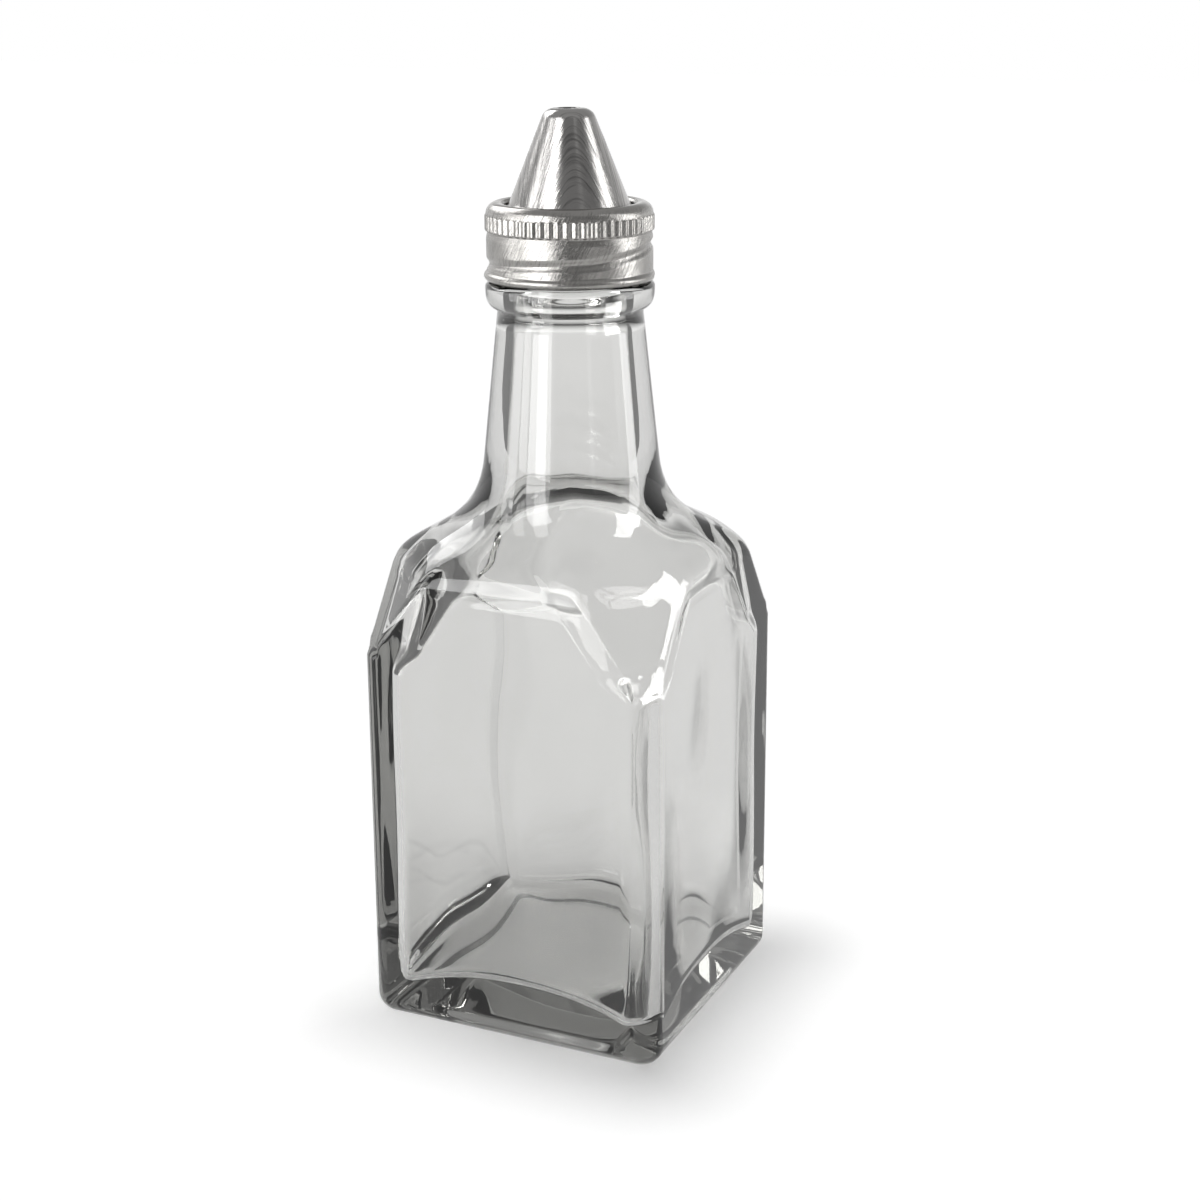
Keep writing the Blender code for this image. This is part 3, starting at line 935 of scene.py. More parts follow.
    def base_rows(self) -> Rings:
        """Underside: the recess, the ring that it stands on and the edge.

        The recess falls to the ring by the smooth step, and the edge is a
        quarter circle of the base's edge radius.

        Returns:
            The rows, from the middle outwards and up.
        """
        ring_half = self.body_width / 2 - self.base_edge_radius
        recess_half = ring_half - self.standing_ring_width
        ceiling = recess_half - self.recess_slope_width
        corner = self.corner_radius
        size = steps(self.recess_pole_share, 1.0, count=7)
        slope = steps(0.0, 1.0, count=8)
        step_half = blend(ceiling, recess_half, slope)
        flat = blend(recess_half, ring_half, steps(0.0, 1.0, count=5))
        turn = steps(0.0, QUARTER, count=12)
        radius = self.base_edge_radius
        edge_panel = min(self.panel_base, ring_half)
        flat_corner = blend(corner, ring_half - edge_panel, steps(0.0, 1.0, count=5))
        return Rings.stack([
            Rings.run(self.recess_depth + 0 * size, ceiling * size, (ceiling - corner) * size),
            Rings.run(self.recess_depth * (1 - smooth(0.0, 1.0, slope)), step_half, step_half - corner),
            Rings.run(0 * flat, flat, flat - flat_corner),
            Rings.run(radius * (1 - np.cos(turn)), ring_half + radius * np.sin(turn), edge_panel),
        ])

    def side_rows(self) -> Rings:
        """Flat sides, then the facets that open out of the corners.

        Below the facet's tip the corner is an arc, and over the tip's drop it
        is mixed into the straight facet.

        Returns:
            The rows, from the base's edge to the shoulder.
        """
        tip_z = self.straight_height - self.facet_tip_drop
        z = np.concatenate([
            steps(self.base_edge_radius, tip_z, count=15),
            steps(tip_z, self.straight_height, count=10),
            steps(self.straight_height, self.shoulder_z, count=34),
        ])
        half = blend(self.body_width / 2, self.half_top, z / self.shoulder_z)
        cut = np.clip((z - tip_z) / self.facet_tip_drop, 0.0, 1.0)
        edge = self.facet_edge * smooth(tip_z, self.straight_height + self.facet_edge_rise, z)
        return Rings.run(z, half, self.panel_half(z), 1 - cut, edge)

    def shoulder_rows(self) -> Rings:
        """Shoulder, from the rounded top edge of the sides to the neck.

        Returns:
            The rows, from the sides' top edge up.
        """
        square, height = self.shoulder_curve(self.shoulder_steps)
        z = blend(self.shoulder_z, self.neck_z, height)
        start_panel = self.panel_half(self.shoulder_z)
        edge = self.facet_edge + self.neck_edge_growth * height
        return Rings.stack([
            Rings.run(self.shoulder_z, self.half_top, start_panel, 0.0, self.facet_edge),
            Rings.run(
                z, self.half_top, self.panel_half(z), height, edge, square, self.neck_base_diameter / 2,
            ),
        ])

    def neck_rows(self) -> Rings:
        """Neck, bead, threaded wall and lip, all round.

        The neck is straight, the bead's underside follows its curve, and the
        lip is a quarter circle.

        Returns:
            The rows, from the shoulder up to the lip.
        """
        finish = self.finish_diameter / 2
        lip = self.lip_edge_radius
        share = steps(0.0, 1.0, count=14)[1:]
        neck = np.stack([
            blend(self.neck_base_diameter / 2, finish, share),
            blend(self.neck_z, self.neck_top_z, share),
        ], axis=1)
        out, rise = self.bead_curve(18)
        below = np.stack([
            finish + self.bead_projection * out,
            blend(self.neck_top_z, self.bead_z, rise),
        ], axis=1)
        crest = finish + self.bead_projection
        crest_z = self.bead_z + self.bead_crest_share * self.bead_upper_rise
        above = rounded_profile([
            (crest, self.bead_z, 0.0),
            (crest, crest_z, self.bead_rounding),
            (finish + self.bead_top_share * self.bead_projection, self.bead_top_z, self.bead_rounding),
            (finish, self.bead_top_z + self.bead_foot_rise, self.bead_foot_rounding),
            (finish, self.bead_top_z + self.bead_foot_end, 0.0),
        ], bend_steps=4)
        wall_z = steps(self.bead_top_z + self.threaded_wall_rise, self.lip_z - lip, count=48)
        wall = np.stack([finish + 0 * wall_z, wall_z], axis=1)
        turn = steps(0.0, QUARTER, count=5, ends=True)
        over = np.stack([
            finish - lip * (1 - np.cos(turn)),
            self.lip_z - lip * (1 - np.sin(turn)),
        ], axis=1)
        profile = np.vstack([neck[:-1], below, above[1:], wall, over])
        return self.round_rows(profile[:, 0], profile[:, 1])

    def cavity_rows(self) -> Rings:
        """Space inside, from the lip down through the neck to the floor.

        It follows the outside at the walls' distance. Its corners open into
        facets as the outside's do, from a lower tip, and a quarter circle
        joins the sides to the floor.

        Returns:
            The rows, from the lip down to the middle of the floor.
        """
        lip = self.lip_edge_radius
        half = self.half_top - self.wall
        inset = self.facet_wall * math.sqrt(2) - self.wall
        side_panel = half - self.cavity_corner_radius
        turn = steps(QUARTER, 0.0, count=6)
        neck_radius = self.neck_base_diameter / 2 * self.bore / (self.finish_diameter / 2)
        square, height = self.shoulder_curve(self.shoulder_steps)
        square, height = square[::-1], height[::-1]
        outer_z = blend(self.shoulder_z, self.neck_z, height)
        z = outer_z - self.shoulder_wall
        panel = np.minimum(side_panel, self.panel_half(blend(z, outer_z, height)) - inset)
        lead_z = self.straight_height - self.cavity_facet_lead
        low_z = steps(self.shoulder_z - self.shoulder_wall, lead_z, count=30)
        opened = smooth(lead_z, self.straight_height, low_z)
        low_panel = np.minimum(side_panel, self.panel_half(low_z) - inset)
        floor_turn = steps(QUARTER, 0.0, count=12, ends=True)
        edge = self.floor_edge_radius
        floor_half = half - edge
        floor_panel = min(side_panel, floor_half - self.least_corner)
        size = steps(1.0, self.floor_pole_share, count=16)[1:]
        over = (self.bore + lip * (1 - np.cos(turn)), self.lip_z - lip * (1 - np.sin(turn)))
        return Rings.stack([
            self.round_rows(*over),
            self.round_rows(self.bore, steps(self.lip_z - lip, self.neck_top_z, count=10)),
            self.round_rows(
                steps(self.bore, neck_radius, count=16),
                steps(self.neck_top_z, self.neck_z - self.shoulder_wall, count=16),
            ),
            Rings.run(
                z, half, panel, blend(self.cavity_roundness, 1.0, height),
                self.facet_edge + self.neck_edge_growth * height, square, neck_radius,
            ),
            Rings.run(
                low_z, half, blend(side_panel, low_panel, opened),
                blend(1.0, self.cavity_roundness, opened), self.facet_edge * opened,
            ),
            Rings.run(steps(lead_z, self.floor_thickness + edge, count=16), half, side_panel),
            Rings.run(
                self.floor_thickness + edge * (1 - np.cos(floor_turn)),
                half - edge * (1 - np.sin(floor_turn)),
                floor_panel,
            ),
            Rings.run(self.floor_thickness + 0 * size, floor_half * size, floor_panel * size),
        ])

    def sunk_floor(self, grid: np.ndarray) -> np.ndarray:
        """Lower the floor towards its corners.

        The drop is the corner's drop times (x y / h^2)^2, with h half the
        cavity's width, and it fades out up the walls.

        Args:
            grid: the inner skin.

        Returns:
            The skin with its floor lowered.
        """
        half = self.half_top - self.wall
        corner = np.clip(np.abs(grid[..., 0] * grid[..., 1]) / half ** 2, 0, 1) ** 2
        fade_end = self.floor_thickness + self.floor_fade_height
        fade = 1 - smooth(self.floor_thickness, fade_end, grid[..., 2])
        z = grid[..., 2] - self.floor_corner_drop * corner * fade
        return np.stack([grid[..., 0], grid[..., 1], z], axis=2)

    def thread(self, grid: np.ndarray) -> np.ndarray:
        """Height of the thread over the finish wall.

        Along the helix z = z0 + pitch a / 2 pi the bead is a half round of
        the thread's half width, thinned to nothing at both ends.

        Args:
            grid: the outer skin.

        Returns:
            The thread's height at each point.
        """
        turn = np.arctan2(grid[..., 1], grid[..., 0]) % math.tau / math.tau
        rise = grid[..., 2] - self.thread_start_z
        taper = self.thread_taper_share * self.thread_turns
        height = np.zeros(turn.shape)
        for lap in range(math.ceil(self.thread_turns)):
            along = turn + lap
            ends = np.minimum(along, self.thread_turns - along) / taper
            offset = (rise - along * self.thread_pitch) / self.thread_half_width
            bead = np.sqrt(np.clip(1 - offset ** 2, 0, 1)) * np.clip(ends, 0, 1)
            height = np.maximum(height, bead)
        return height * self.thread_projection

    def waves(self, grid: np.ndarray) -> np.ndarray:
        """Slow unevenness of the inner wall.

        It is the wave's height times sin(a) cos(b) + 0.6 sin(c) + 0.4 cos(d),
        with a to d the angles of the four waves.

        Args:
            grid: the inner skin.

        Returns:
            The distance outwards at each point.
        """
        a, b, c, d = (wave.angle(grid) for wave in self.wall_waves)
        second, third = self.wave_shares
        return self.cavity_wave * (np.sin(a) * np.cos(b) + second * np.sin(c) + third * np.cos(d))

    def build(self) -> bpy.types.Object:
        """Make the glass as one closed skin and dress it.

        Returns:
            The bottle's object.
        """
        outside = self.outlines(Rings.stack([
            self.base_rows(), self.side_rows(), self.shoulder_rows(), self.neck_rows(),
        ]))
        inside = self.outlines(self.cavity_rows())
        above = outside[..., 2] > self.bead_top_z + self.threaded_mask_rise
        below = outside[..., 2] < self.lip_z - self.lip_edge_radius
        outside = push_out(outside, np.where(above & below, self.thread(outside), 0.0))
        in_body = smooth(self.neck_z, self.panel_top_z, inside[..., 2])
        inside = self.sunk_floor(push_out(inside, self.waves(inside) * in_body))
        piece = grid_piece("glass_bottle_skin", np.concatenate([outside, inside]), ring=False)
        place(piece, "bottle", "glass_bottle", self.finish.material())
        return piece


# The cap

@dataclass
class SealingWasher:
    """Flat washer between the lip and the cone's flange."""

    lip_z: float
    seat_gap: float = 0.0003
    thickness: float = 0.0010
    inner_radius: float = 0.0107
    outer_radius: float = 0.0128
    rounding: float = 0.00022
    columns: int = 144
    finish: SealPlastic = field(default_factory=SealPlastic)

    @property
    def top_z(self) -> float:
        """Height of the washer's upper face."""
        return self.lip_z + self.seat_gap + self.thickness

    def build(self) -> bpy.types.Object:
        """Turn the washer's rounded section round the axis.

        Returns:
            The washer's object.
        """
        low, high = self.lip_z + self.seat_gap, self.top_z
        middle = (self.inner_radius + self.outer_radius) / 2
        section = rounded_profile([
            (middle, low, 0.0),
            (self.outer_radius, low, self.rounding),
            (self.outer_radius, high, self.rounding),
            (self.inner_radius, high, self.rounding),
            (self.inner_radius, low, self.rounding),
            (middle, low, 0.0),
        ])
        piece = grid_piece("sealing_washer_ring", turned_grid(section[:-1], self.columns), ring=True)
        place(piece, "pourer", "sealing_washer", self.finish.material())
        return piece


@dataclass
class PouringCone:
    """Pressed cone with a hole in its rounded tip and a flange at its foot."""

    flange_z: float
    wall: float = 0.0005
    height: float = 0.0169
    foot_radius: float = 0.0101
    tip_radius: float = 0.0024
    half_angle: float = math.radians(21.9)
    fillet: float = 0.0014
    flange_radius: float = 0.0128
    hole_radius: float = 0.00175
    longest_step: float = 0.0006
    columns: int = 240
    finish: BrushedSteel = field(default_factory=lambda: BrushedSteel(
        "brushed_steel_cone", (0.46, 0.45, 0.44), 0.13,
        tuple(ScratchPass(heading, 12.0) for heading in (33.0, 123.0, 213.0, 303.0)),
    ))

    def profile(self) -> np.ndarray:
        """Outside, from the pouring hole down to the flange's edge.

        The tip is an arc of the tip's radius, the side is straight at the
        half angle, and the foot is an arc that ends level. The arc of the tip
        is centred where it meets the side without a corner.

        Returns:
            Radius and height of each point, the height from the flange's foot.
        """
        normal_out, normal_up = math.cos(self.half_angle), math.sin(self.half_angle)
        foot = self.foot_radius + self.fillet * (1 - normal_out)
        foot_z = self.wall + self.fillet * (1 - normal_up)
        side_z = self.height - self.tip_radius * (1 - normal_up)
        centre = foot - (side_z - foot_z) * math.tan(self.half_angle) - self.tip_radius * normal_out
        end = QUARTER - self.half_angle
        start = math.asin((self.hole_radius - centre) / self.tip_radius)
        tip = np.linspace(start, end, 16)
        base = np.linspace(end, 0.0, 10)
        tip_arc = np.stack([
            centre + self.tip_radius * np.sin(tip),
            self.height - self.tip_radius * (1 - np.cos(tip)),
        ], axis=1)
        foot_arc = np.stack([
            self.foot_radius + self.fillet * (1 - np.sin(base)),
            self.wall + self.fillet * (1 - np.cos(base)),
        ], axis=1)
        flange = [[self.flange_radius, self.wall]]
        return even_profile(np.vstack([tip_arc, foot_arc, flange]), self.longest_step)

    def build(self) -> bpy.types.Object:
        """Turn the cone's wall, outside and inside, round the axis.

        Returns:
            The cone's object.
        """
        outer = self.profile() + [0.0, self.flange_z]
        inner = inner_profile(outer, self.wall)
        inner[-1] = (self.flange_radius, self.flange_z)
        section = np.vstack([outer[::-1], inner])
        piece = grid_piece("cone_spout_wall", turned_grid(section, self.columns), ring=True)
        place(piece, "pourer", "cone_spout", self.finish.material())
        return piece


@dataclass
class ScrewBand:
    """Sheet band: turned-down lip, knurl, rolled thread and curled edge."""

    base_z: float
    top_z: float
    skirt_radius: float = 0.0142
    wall: float = 0.00035
    top_edge_radius: float = 0.0019
    lip_drop: float = 0.0004
    lip_reach: float = 0.0012
    lip_hem: float = 0.0002
    lip_bend_shares: Pair = (0.6, 0.25)
    knurl_height: float = 0.0030
    knurl_depth: float = 0.0003
    knurl_raise: float = 0.0002
    ribs: int = 60
    chamfer: float = 0.0003
    necked_height: float = 0.0010
    necked_depth: float = 0.00025
    necked_rounding: float = 0.0003
    collar_rounding: float = 0.0002
    rib_rounding: float = 0.0001
    curl_height: float = 0.0016
    curl_raise: float = 0.0005
    thread_depth: float = 0.0005
    thread_width: float = 0.0024
    thread_turns: float = 1.2
    thread_pitch: float = 0.00423
    thread_taper_share: float = 0.12
    thread_start: float = 0.0
    thread_run_out: float = 0.0014
    run_out_laps: Pair = (0.84, 1.10)
    groove_start: float = 0.0006
    groove_fade: Pair = (-0.0002, 0.0004)
    longest_step: float = 0.00022
    columns: int = 600
    finish: BrushedSteel = field(default_factory=lambda: BrushedSteel(
        "satin_steel_band", (0.41, 0.40, 0.385), 0.14,
        tuple(ScratchPass(25.0 + 45.0 * step, -28.0, 0.00013, 0.006) for step in range(8)),
        line_shade=0.40,
        painted_inside_shade=0.8,
        # Light painted shade on the band's inner side.
        edge_on=True,
    ))

    @property
    def knurl_top(self) -> float:
        """Height above the band's foot at which the knurl starts."""
        return self.top_z - self.base_z - self.top_edge_radius

    @property
    def necked_bottom(self) -> float:
        """Height above the band's foot at which the plain skirt starts."""
        return self.knurl_top - self.knurl_height - self.necked_height

    def profile(self) -> np.ndarray:
        """Outside of the band, from its bottom curl up to the inner lip.

        The curl is half a sine wave, the top edge a quarter circle, and the
        skirt, the collar and the knurl's band are straight runs with rounded
        corners.

        Returns:
            Radius and height of each point, the height from the band's foot.
        """
        height = self.top_z - self.base_z
        centre = self.skirt_radius - self.top_edge_radius
        crest = self.skirt_radius + self.knurl_raise
        bottom = self.knurl_top - self.knurl_height
        share = np.linspace(0.0, 1.0, 12)
        curl = np.stack([
            self.skirt_radius + self.curl_raise * np.sin(share * math.pi),
            self.curl_height * share,
        ], axis=1)
        skirt = rounded_profile([
            (self.skirt_radius, self.curl_height, 0.0),
            (self.skirt_radius, self.necked_bottom, self.necked_rounding),
            (self.skirt_radius - self.necked_depth, bottom, self.collar_rounding),
            (crest, bottom + self.chamfer, self.rib_rounding),
            (crest, self.knurl_top - self.chamfer, self.rib_rounding),
            (self.skirt_radius, self.knurl_top, 0.0),
        ])
        turn = np.linspace(0.0, QUARTER, 14)
        top = np.stack([
            centre + self.top_edge_radius * np.cos(turn),
            self.knurl_top + self.top_edge_radius * np.sin(turn),
        ], axis=1)
        bend_reach, bend_drop = self.lip_bend_shares
        lip = [
            [centre - self.lip_reach * bend_reach, height - self.lip_drop * bend_drop],
            [centre - self.lip_reach, height - self.lip_drop - self.lip_hem],
        ]
        return even_profile(np.vstack([curl[:-1], skirt[:-1], top, lip]), self.longest_step)

    def knurl(self, grid: np.ndarray) -> np.ndarray:
        """Depth of the knurl's grooves.

        It is the knurl's depth times (1 - cos(n a)) / 2, with n the number of
        ribs, and it fades out at the knurl's upper and lower ends.

        Args:
            grid: the band's outer skin.

        Returns:
            The depth at each point.
        """
        turn = np.arctan2(grid[..., 1], grid[..., 0])
        z = grid[..., 2] - self.base_z
        top, bottom = self.knurl_top, self.knurl_top - self.knurl_height
        band = smooth(bottom, bottom + self.chamfer, z) * (1 - smooth(top - self.chamfer, top, z))
        return self.knurl_depth * band * (1 - np.cos(turn * self.ribs)) / 2

    def rolled(self, grid: np.ndarray) -> np.ndarray:
        """Depth of the rolled thread.

        Across the groove it is a raised cosine of the thread's width, along
        the helix z = z0 + pitch a / 2 pi, thinned to nothing at both ends.
        Over the laps of its run-out the groove climbs faster.

        Args:
            grid: the band's outer or inner skin.

        Returns:
            The depth at each point.
        """
        turn = np.arctan2(grid[..., 1], grid[..., 0]) % math.tau / math.tau
        z = grid[..., 2] - self.base_z
        depth = np.zeros(turn.shape)
        for lap in range(math.ceil(self.thread_turns)):
            along = turn + lap
            ends = np.clip(np.minimum(along, self.thread_turns - along) / self.thread_taper_share, 0, 1)
            climb = self.thread_run_out * smooth(*self.run_out_laps, along)
            centre = self.thread_start + along * self.thread_pitch + climb
            offset = np.clip((z - centre) / self.thread_width, -0.5, 0.5)
            depth = np.maximum(depth, ends * (1 + np.cos(math.tau * offset)) / 2)
        fade_low, fade_high = (self.necked_bottom + rise for rise in self.groove_fade)
        inside = smooth(0.0, self.groove_start, z) * (1 - smooth(fade_low, fade_high, z))
        return self.thread_depth * depth * inside

    def build(self) -> bpy.types.Object:
        """Turn the band's wall and press the knurl and the thread into it.

        Returns:
            The band's object.
        """
        outer = self.profile() + [0.0, self.base_z]
        inner = inner_profile(outer, -self.wall)
        shell = turned_grid(outer, self.columns)
        every_other = np.linspace(len(inner) - 1, 0, len(inner) // 2).round().astype(int)
        lining = turned_grid(inner[every_other], self.columns)
        shell = push_out(shell, -self.knurl(shell) - self.rolled(shell))
        lining = push_out(lining, -self.rolled(lining))
        piece = grid_piece("screw_band_wall", np.concatenate([shell, lining]), ring=True)
        place(piece, "band", "screw_band", self.finish.material())
        return piece


# The studio

class CardKind(Enum):
    """What a studio card does.

    LIGHT gives light. BLACK is a dark thing that metal mirrors, and lets by
    what has come through glass. FLAG is a dark thing seen through glass.
    """

    LIGHT = "light"
    BLACK = "black"
    FLAG = "flag"


@dataclass(frozen=True)
class Card:
    """Upright card round the object, by compass heading and distance."""

    name: str
    kind: CardKind
    heading: float
    distance: float
    width: float
    low: float
    high: float
    strength: float = 1.0
    glossy: bool = True
    transmission: bool = True
    diffuse: bool = True

    def frame(self) -> tuple[Vector, Vector, Vector]:
        """Place of the card.

        Returns:
            Its middle, its sideways direction and its face's normal.
        """
        a = math.radians(self.heading)
        out = Vector((math.sin(a), -math.cos(a), 0.0))
        aside = Vector((math.cos(a), math.sin(a), 0.0))
        middle = out * self.distance + Vector((0.0, 0.0, (self.low + self.high) / 2))
        return middle, aside, -out

    def lamp(self) -> bpy.types.Object:
        """Make the card as a soft light.

        Returns:
            The light's object.
        """
        middle, _, facing = self.frame()
        height = self.high - self.low
        lamp = bpy.data.lights.new(self.name, "AREA")
        lamp.shape = "RECTANGLE"
        lamp.size = self.width
        lamp.size_y = height
        lamp.energy = self.strength * self.width * height * math.pi
        made = bpy.data.objects.new(self.name, lamp)
        made.location = middle
        made.rotation_mode = "QUATERNION"
        made.rotation_quaternion = facing.to_track_quat("-Z", "Y")
        made.visible_diffuse = self.diffuse
        return made

    def dark_finish(self) -> bpy.types.Material:
        """Even dark glow, and nothing at all for the rays that are let by.

        Returns:
            The material.
        """
        material, sheet = new_finish(self.name)
        let_by = 0.0
        if self.kind is CardKind.BLACK:
            let_by = sheet.math("MINIMUM", *sheet.rays("Transmission Depth"), 1.0)
        dark = sheet.node("Emission", None, {"Color": (self.strength,) * 3 + (1.0,), "Strength": 1.0})
        both = sheet.node("MixShader", None, {0: let_by})
        sheet.link(dark, both, 1)
        sheet.link(sheet.node("BsdfTransparent"), both, 2)
        sheet.close(both)
        return material

    def dark_sheet(self) -> bpy.types.Object:
        """Make the card as a dark sheet that casts nothing.

        Returns:
            The sheet's object.
        """
        middle, aside, _ = self.frame()
        rise = Vector((0.0, 0.0, (self.high - self.low) / 2))
        corners = [
            middle + aside * (self.width / 2 * across) + rise * up
            for across, up in ((-1, -1), (1, -1), (1, 1), (-1, 1))
        ]
        mesh = bpy.data.meshes.new(self.name)
        mesh.from_pydata(corners, [], [(0, 1, 2, 3)])
        mesh.materials.append(self.dark_finish())
        made = bpy.data.objects.new(self.name, mesh)
        made.visible_diffuse = False
        made.visible_shadow = False
        return made

    def build(self) -> None:
        """Make the card and hide it from the camera."""
        made = self.lamp() if self.kind is CardKind.LIGHT else self.dark_sheet()
        made.visible_camera = False
        made.visible_glossy = self.glossy
        made.visible_transmission = self.transmission
        bpy.context.scene.collection.objects.link(made)


@dataclass
class Studio:
    """Pale floor, white surroundings, soft light and the camera.

    The lit floor alone would clip to white at the object's foot. So its glow
    falls off there in a painted shadow, deeper on the side that the shadow
    falls to, and the floor keeps its lit shadow too.
    """

    heading: float = 25.03
    pitch: float = 16.907
    roll: float = -0.307
    lens: float = 63.24
    sensor_width: float = 36.0
    clip_start: float = 0.01
    target: Triple = (0.004356, 0.002028, 0.07425)
    distance: float = 0.37605
    sky_range: Pair = (0.02, 0.45)
    floor_size: float = 6.0
    floor_gap: float = 0.00005
    floor_grey: float = 0.80
    world_low: float = 1.0
    world_high: float = 0.34
    world_mirrored: float = 0.42
    floor_glow: float = 0.74
    floor_mirrored: float = 0.50
    # Painted shade near the foot, for rays through glass.
    shade_start: float = 0.015
    shade_end: float = 0.10
    shade_low: float = 0.40
    # Painted shadow round the foot, for camera rays.
    foot: Triple = (0.026, 0.026, 0.0)
    shadow_side: Triple = (0.9, -0.45, 0.0)
    shadow_turn: Pair = (-0.03, 0.03)
    shadow_reach: Pair = (-0.012, 0.028)
    shadow_depth: Pair = (0.34, 0.83)
    cards: tuple[Card, ...] = ()

    def camera(self) -> None:
        """Camera that looks at the target at its heading, pitch and roll."""
        a, e, r = (math.radians(v) for v in (self.heading, self.pitch, self.roll))
        back = Vector((math.sin(a) * math.cos(e), -math.cos(a) * math.cos(e), math.sin(e)))
        right = Vector((math.cos(a), math.sin(a), 0.0))
        up = back.cross(right)
        across = right * math.cos(r) + up * math.sin(r)
        upward = up * math.cos(r) - right * math.sin(r)
        data = bpy.data.cameras.new("camera")
        data.lens = self.lens
        data.sensor_width = self.sensor_width
        data.clip_start = self.clip_start
        made = bpy.data.objects.new("camera", data)
        place_at = Vector(self.target) + back * self.distance
        made.matrix_world = Matrix((
            (across.x, upward.x, back.x, place_at.x),
            (across.y, upward.y, back.y, place_at.y),
            (across.z, upward.z, back.z, place_at.z),
            (0.0, 0.0, 0.0, 1.0),
        ))
        bpy.context.scene.collection.objects.link(made)
        bpy.context.scene.camera = made

    def shadow(self, sheet: Sheet, spot: Wire) -> Wire:
        """Painted shadow: share of its glow that the floor keeps near the object's foot.

        It is 1 - d (1 - c). The depth d goes smoothly from one value to the
        other across the shadow's side, and c goes from 0 to 1 with the
        distance from the square foot.

        Args:
            sheet: the floor's nodes.
            spot: position on the floor.

        Returns:
            The share, 1 well away from the foot.
        """
        zero = (0.0, 0.0, 0.0)
        beyond = sheet.vector("SUBTRACT", "Vector", sheet.vector("ABSOLUTE", "Vector", spot), self.foot)
        away = sheet.vector("LENGTH", "Value", sheet.vector("MAXIMUM", "Vector", beyond, zero))
        aside = sheet.vector("DOT_PRODUCT", "Value", spot, self.shadow_side)
        dark = sheet.lift(aside, *self.shadow_turn, *self.shadow_depth)
        clear = sheet.lift(away, *self.shadow_reach)
        return 1.0 - dark * (1.0 - clear)

    def seen(self, sheet: Sheet) -> Wire:
        """Glow of the floor for each kind of ray.

        Args:
            sheet: the floor's nodes.

        Returns:
            The floor's glow for camera rays, with a painted shadow round the
            foot, and a lower one for mirrored rays and for those through glass, the last with painted shade
            near the foot.
        """
        camera, glossy, through = sheet.rays("Is Camera Ray", "Is Glossy Ray", "Is Transmission Ray")
        spot = sheet.wire("TexCoord", "Object")
        length = sheet.vector("LENGTH", "Value", spot)
        # Painted shade near the foot for rays through glass.
        near = sheet.lift(length, self.shade_start, self.shade_end, self.shade_low, 1.0)
        mirrored = sheet.math("MAXIMUM", glossy * (1.0 - through), through * near)
        # Painted shadow round the foot for camera rays.
        straight = camera * self.shadow(sheet, spot) * self.floor_glow
        return sheet.math("MAXIMUM", straight, mirrored * self.floor_mirrored)

    def floor(self) -> None:
        """Wide white floor that keeps the object's shadow, with a painted shadow round its foot."""
        half = self.floor_size / 2
        corners = [(-half, -half, 0), (half, -half, 0), (half, half, 0), (-half, half, 0)]
        mesh = bpy.data.meshes.new("floor")
        mesh.from_pydata(corners, [], [(0, 1, 2, 3)])
        material, sheet = new_finish("floor_white")
        both = sheet.node("AddShader")
        sheet.link(sheet.node("BsdfDiffuse", None, {"Color": (self.floor_grey,) * 3 + (1.0,)}), both, 0)
        sheet.link(sheet.node("Emission", None, {"Color": WHITE, "Strength": self.seen(sheet)}), both, 1)
        sheet.close(both)
        mesh.materials.append(material)
        made = bpy.data.objects.new("floor", mesh)
        made.location = (0.0, 0.0, -self.floor_gap)
        bpy.context.scene.collection.objects.link(made)

    def world(self) -> None:
        """White surroundings to the eye, with softer light on the object.

        The strength falls from the horizon to overhead. For what is mirrored
        it falls less.
        """
        world = bpy.data.worlds.new("surroundings")
        world.use_nodes = True
        bpy.context.scene.world = world
        sheet = Sheet(world.node_tree)
        direction = sheet.wire("TexCoord", "Generated")
        up = Wire(sheet, sheet.node("SeparateXYZ", None, {0: direction}).outputs["Z"])
        camera, glossy, through = sheet.rays("Is Camera Ray", "Is Glossy Ray", "Is Transmission Ray")
        overhead = blend(self.world_high, self.world_mirrored, glossy * (1.0 - through))
        dim = blend(self.world_low, overhead, sheet.lift(up, *self.sky_range))
        strength = sheet.math("MAXIMUM", camera, dim)
        glow = sheet.node("Background", None, {"Color": WHITE, "Strength": strength})
        sheet.link(glow, sheet.node("OutputWorld"), "Surface")

    def build(self) -> None:
        """Set the floor, the surroundings, the cards, the camera and the view."""
        self.floor()
        self.world()
        for card in self.cards:
            card.build()
        self.camera()
        bpy.context.scene.view_settings.view_transform = "Standard"


def studio_cards() -> tuple[Card, ...]:
    """Soft lights and dark cards round the object.

    Returns:
        The cards, each with its heading, distance, width, lower and upper
        edge and strength.
    """
    light, black, flag = CardKind.LIGHT, CardKind.BLACK, CardKind.FLAG
    mirrored = {"transmission": False}
    through = {"glossy": False}
    return (
        Card("strip_left", light, -20.0, 0.46, 0.20, 0.0, 0.60, 5.5, diffuse=False),
        Card("strip_far_left", light, -56.0, 0.46, 0.12, 0.0, 0.46, 3.2, diffuse=False),
        Card("soft_right", light, 107.0, 0.55, 0.32, 0.135, 0.75, 16.0, diffuse=False, **through),
        Card("strip_right", light, 111.0, 0.56, 0.14, 0.0, 0.52, 4.6, diffuse=False, **mirrored),
        Card("flag_left", flag, 270.0, 0.50, 0.50, 0.0, 0.80, 0.18, **through),
        Card("flag_right", flag, 141.0, 0.50, 0.28, 0.0, 0.80, 0.18, **through),
        Card("upper_left", light, -112.0, 0.50, 0.40, 0.32, 0.75, 3.5, diffuse=False, **mirrored),
        Card("card_front", black, 26.0, 0.30, 0.26, 0.0, 0.55, 0.26, **mirrored),
        Card("card_side", black, 72.0, 0.36, 0.22, 0.09, 0.45, 0.24, **mirrored),
    )


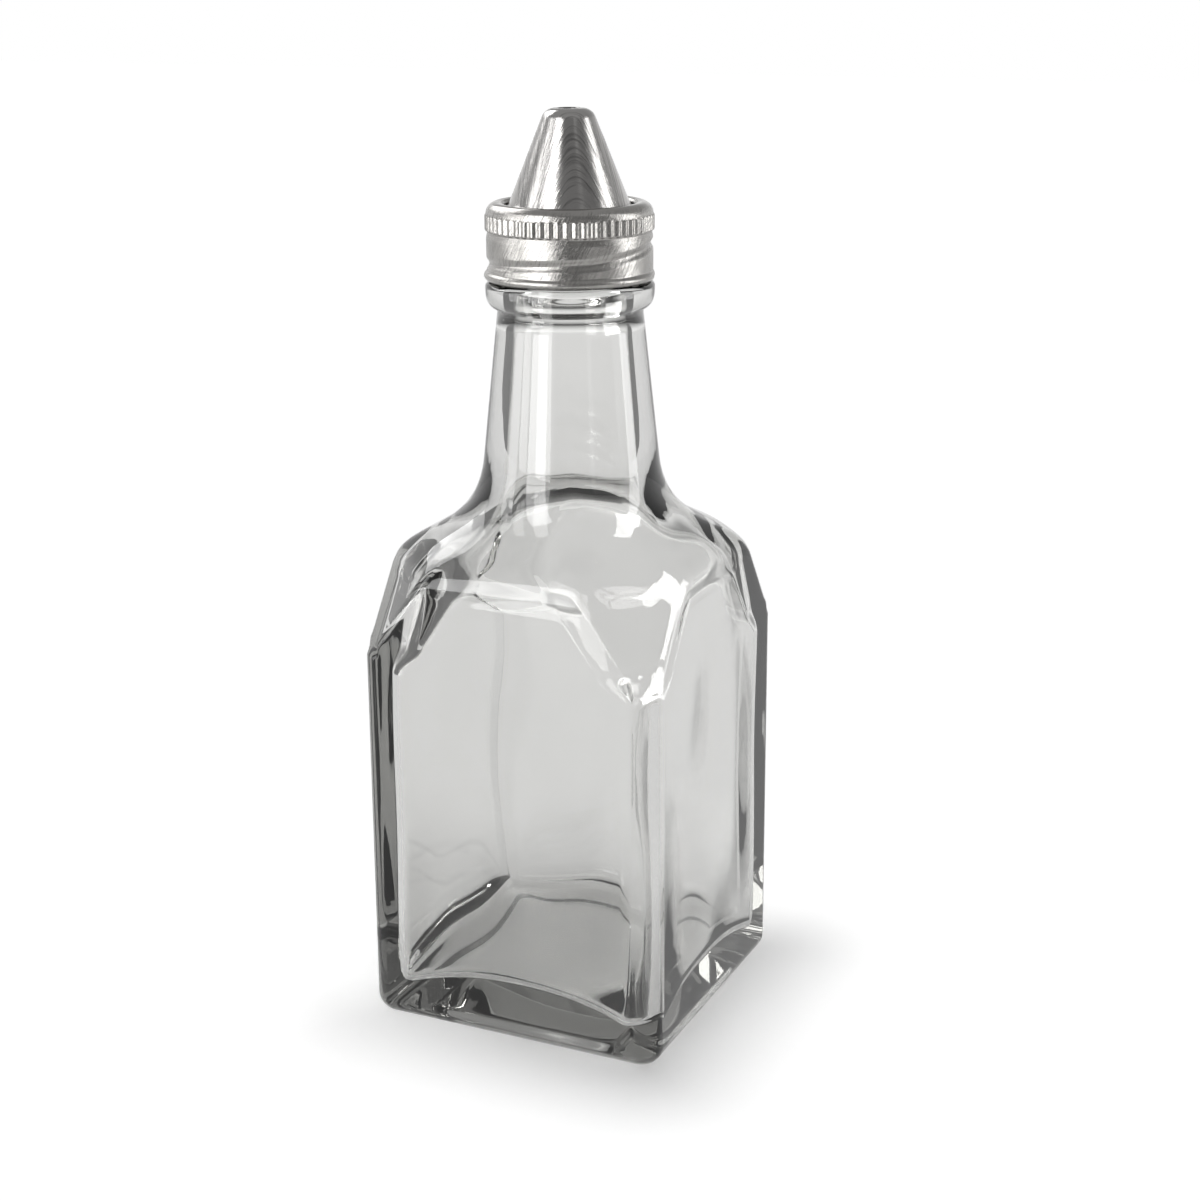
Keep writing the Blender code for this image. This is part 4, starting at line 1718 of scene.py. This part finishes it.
def main() -> None:
    """Build the bottle, its cap and the studio in order."""
    logging.basicConfig(level=logging.INFO, format="%(name)s %(message)s")
    bottle = GlassBottle()
    bottle.build()
    washer = SealingWasher(bottle.lip_z)
    washer.build()
    gap = washer.seat_gap
    cone = PouringCone(washer.top_z + gap)
    cone.build()
    base_z = bottle.bead_top_z + gap
    top_z = cone.flange_z + cone.wall + gap + ScrewBand.lip_drop + ScrewBand.wall
    thread_start = bottle.thread_start_z - bottle.thread_pitch / 2 - base_z
    band = ScrewBand(base_z, top_z, thread_start=thread_start)
    band.build()
    studio = Studio(cards=studio_cards())
    studio.build()
    LOG.info("studio: %d cards", len(studio.cards))


if __name__ == "__main__":
    main()
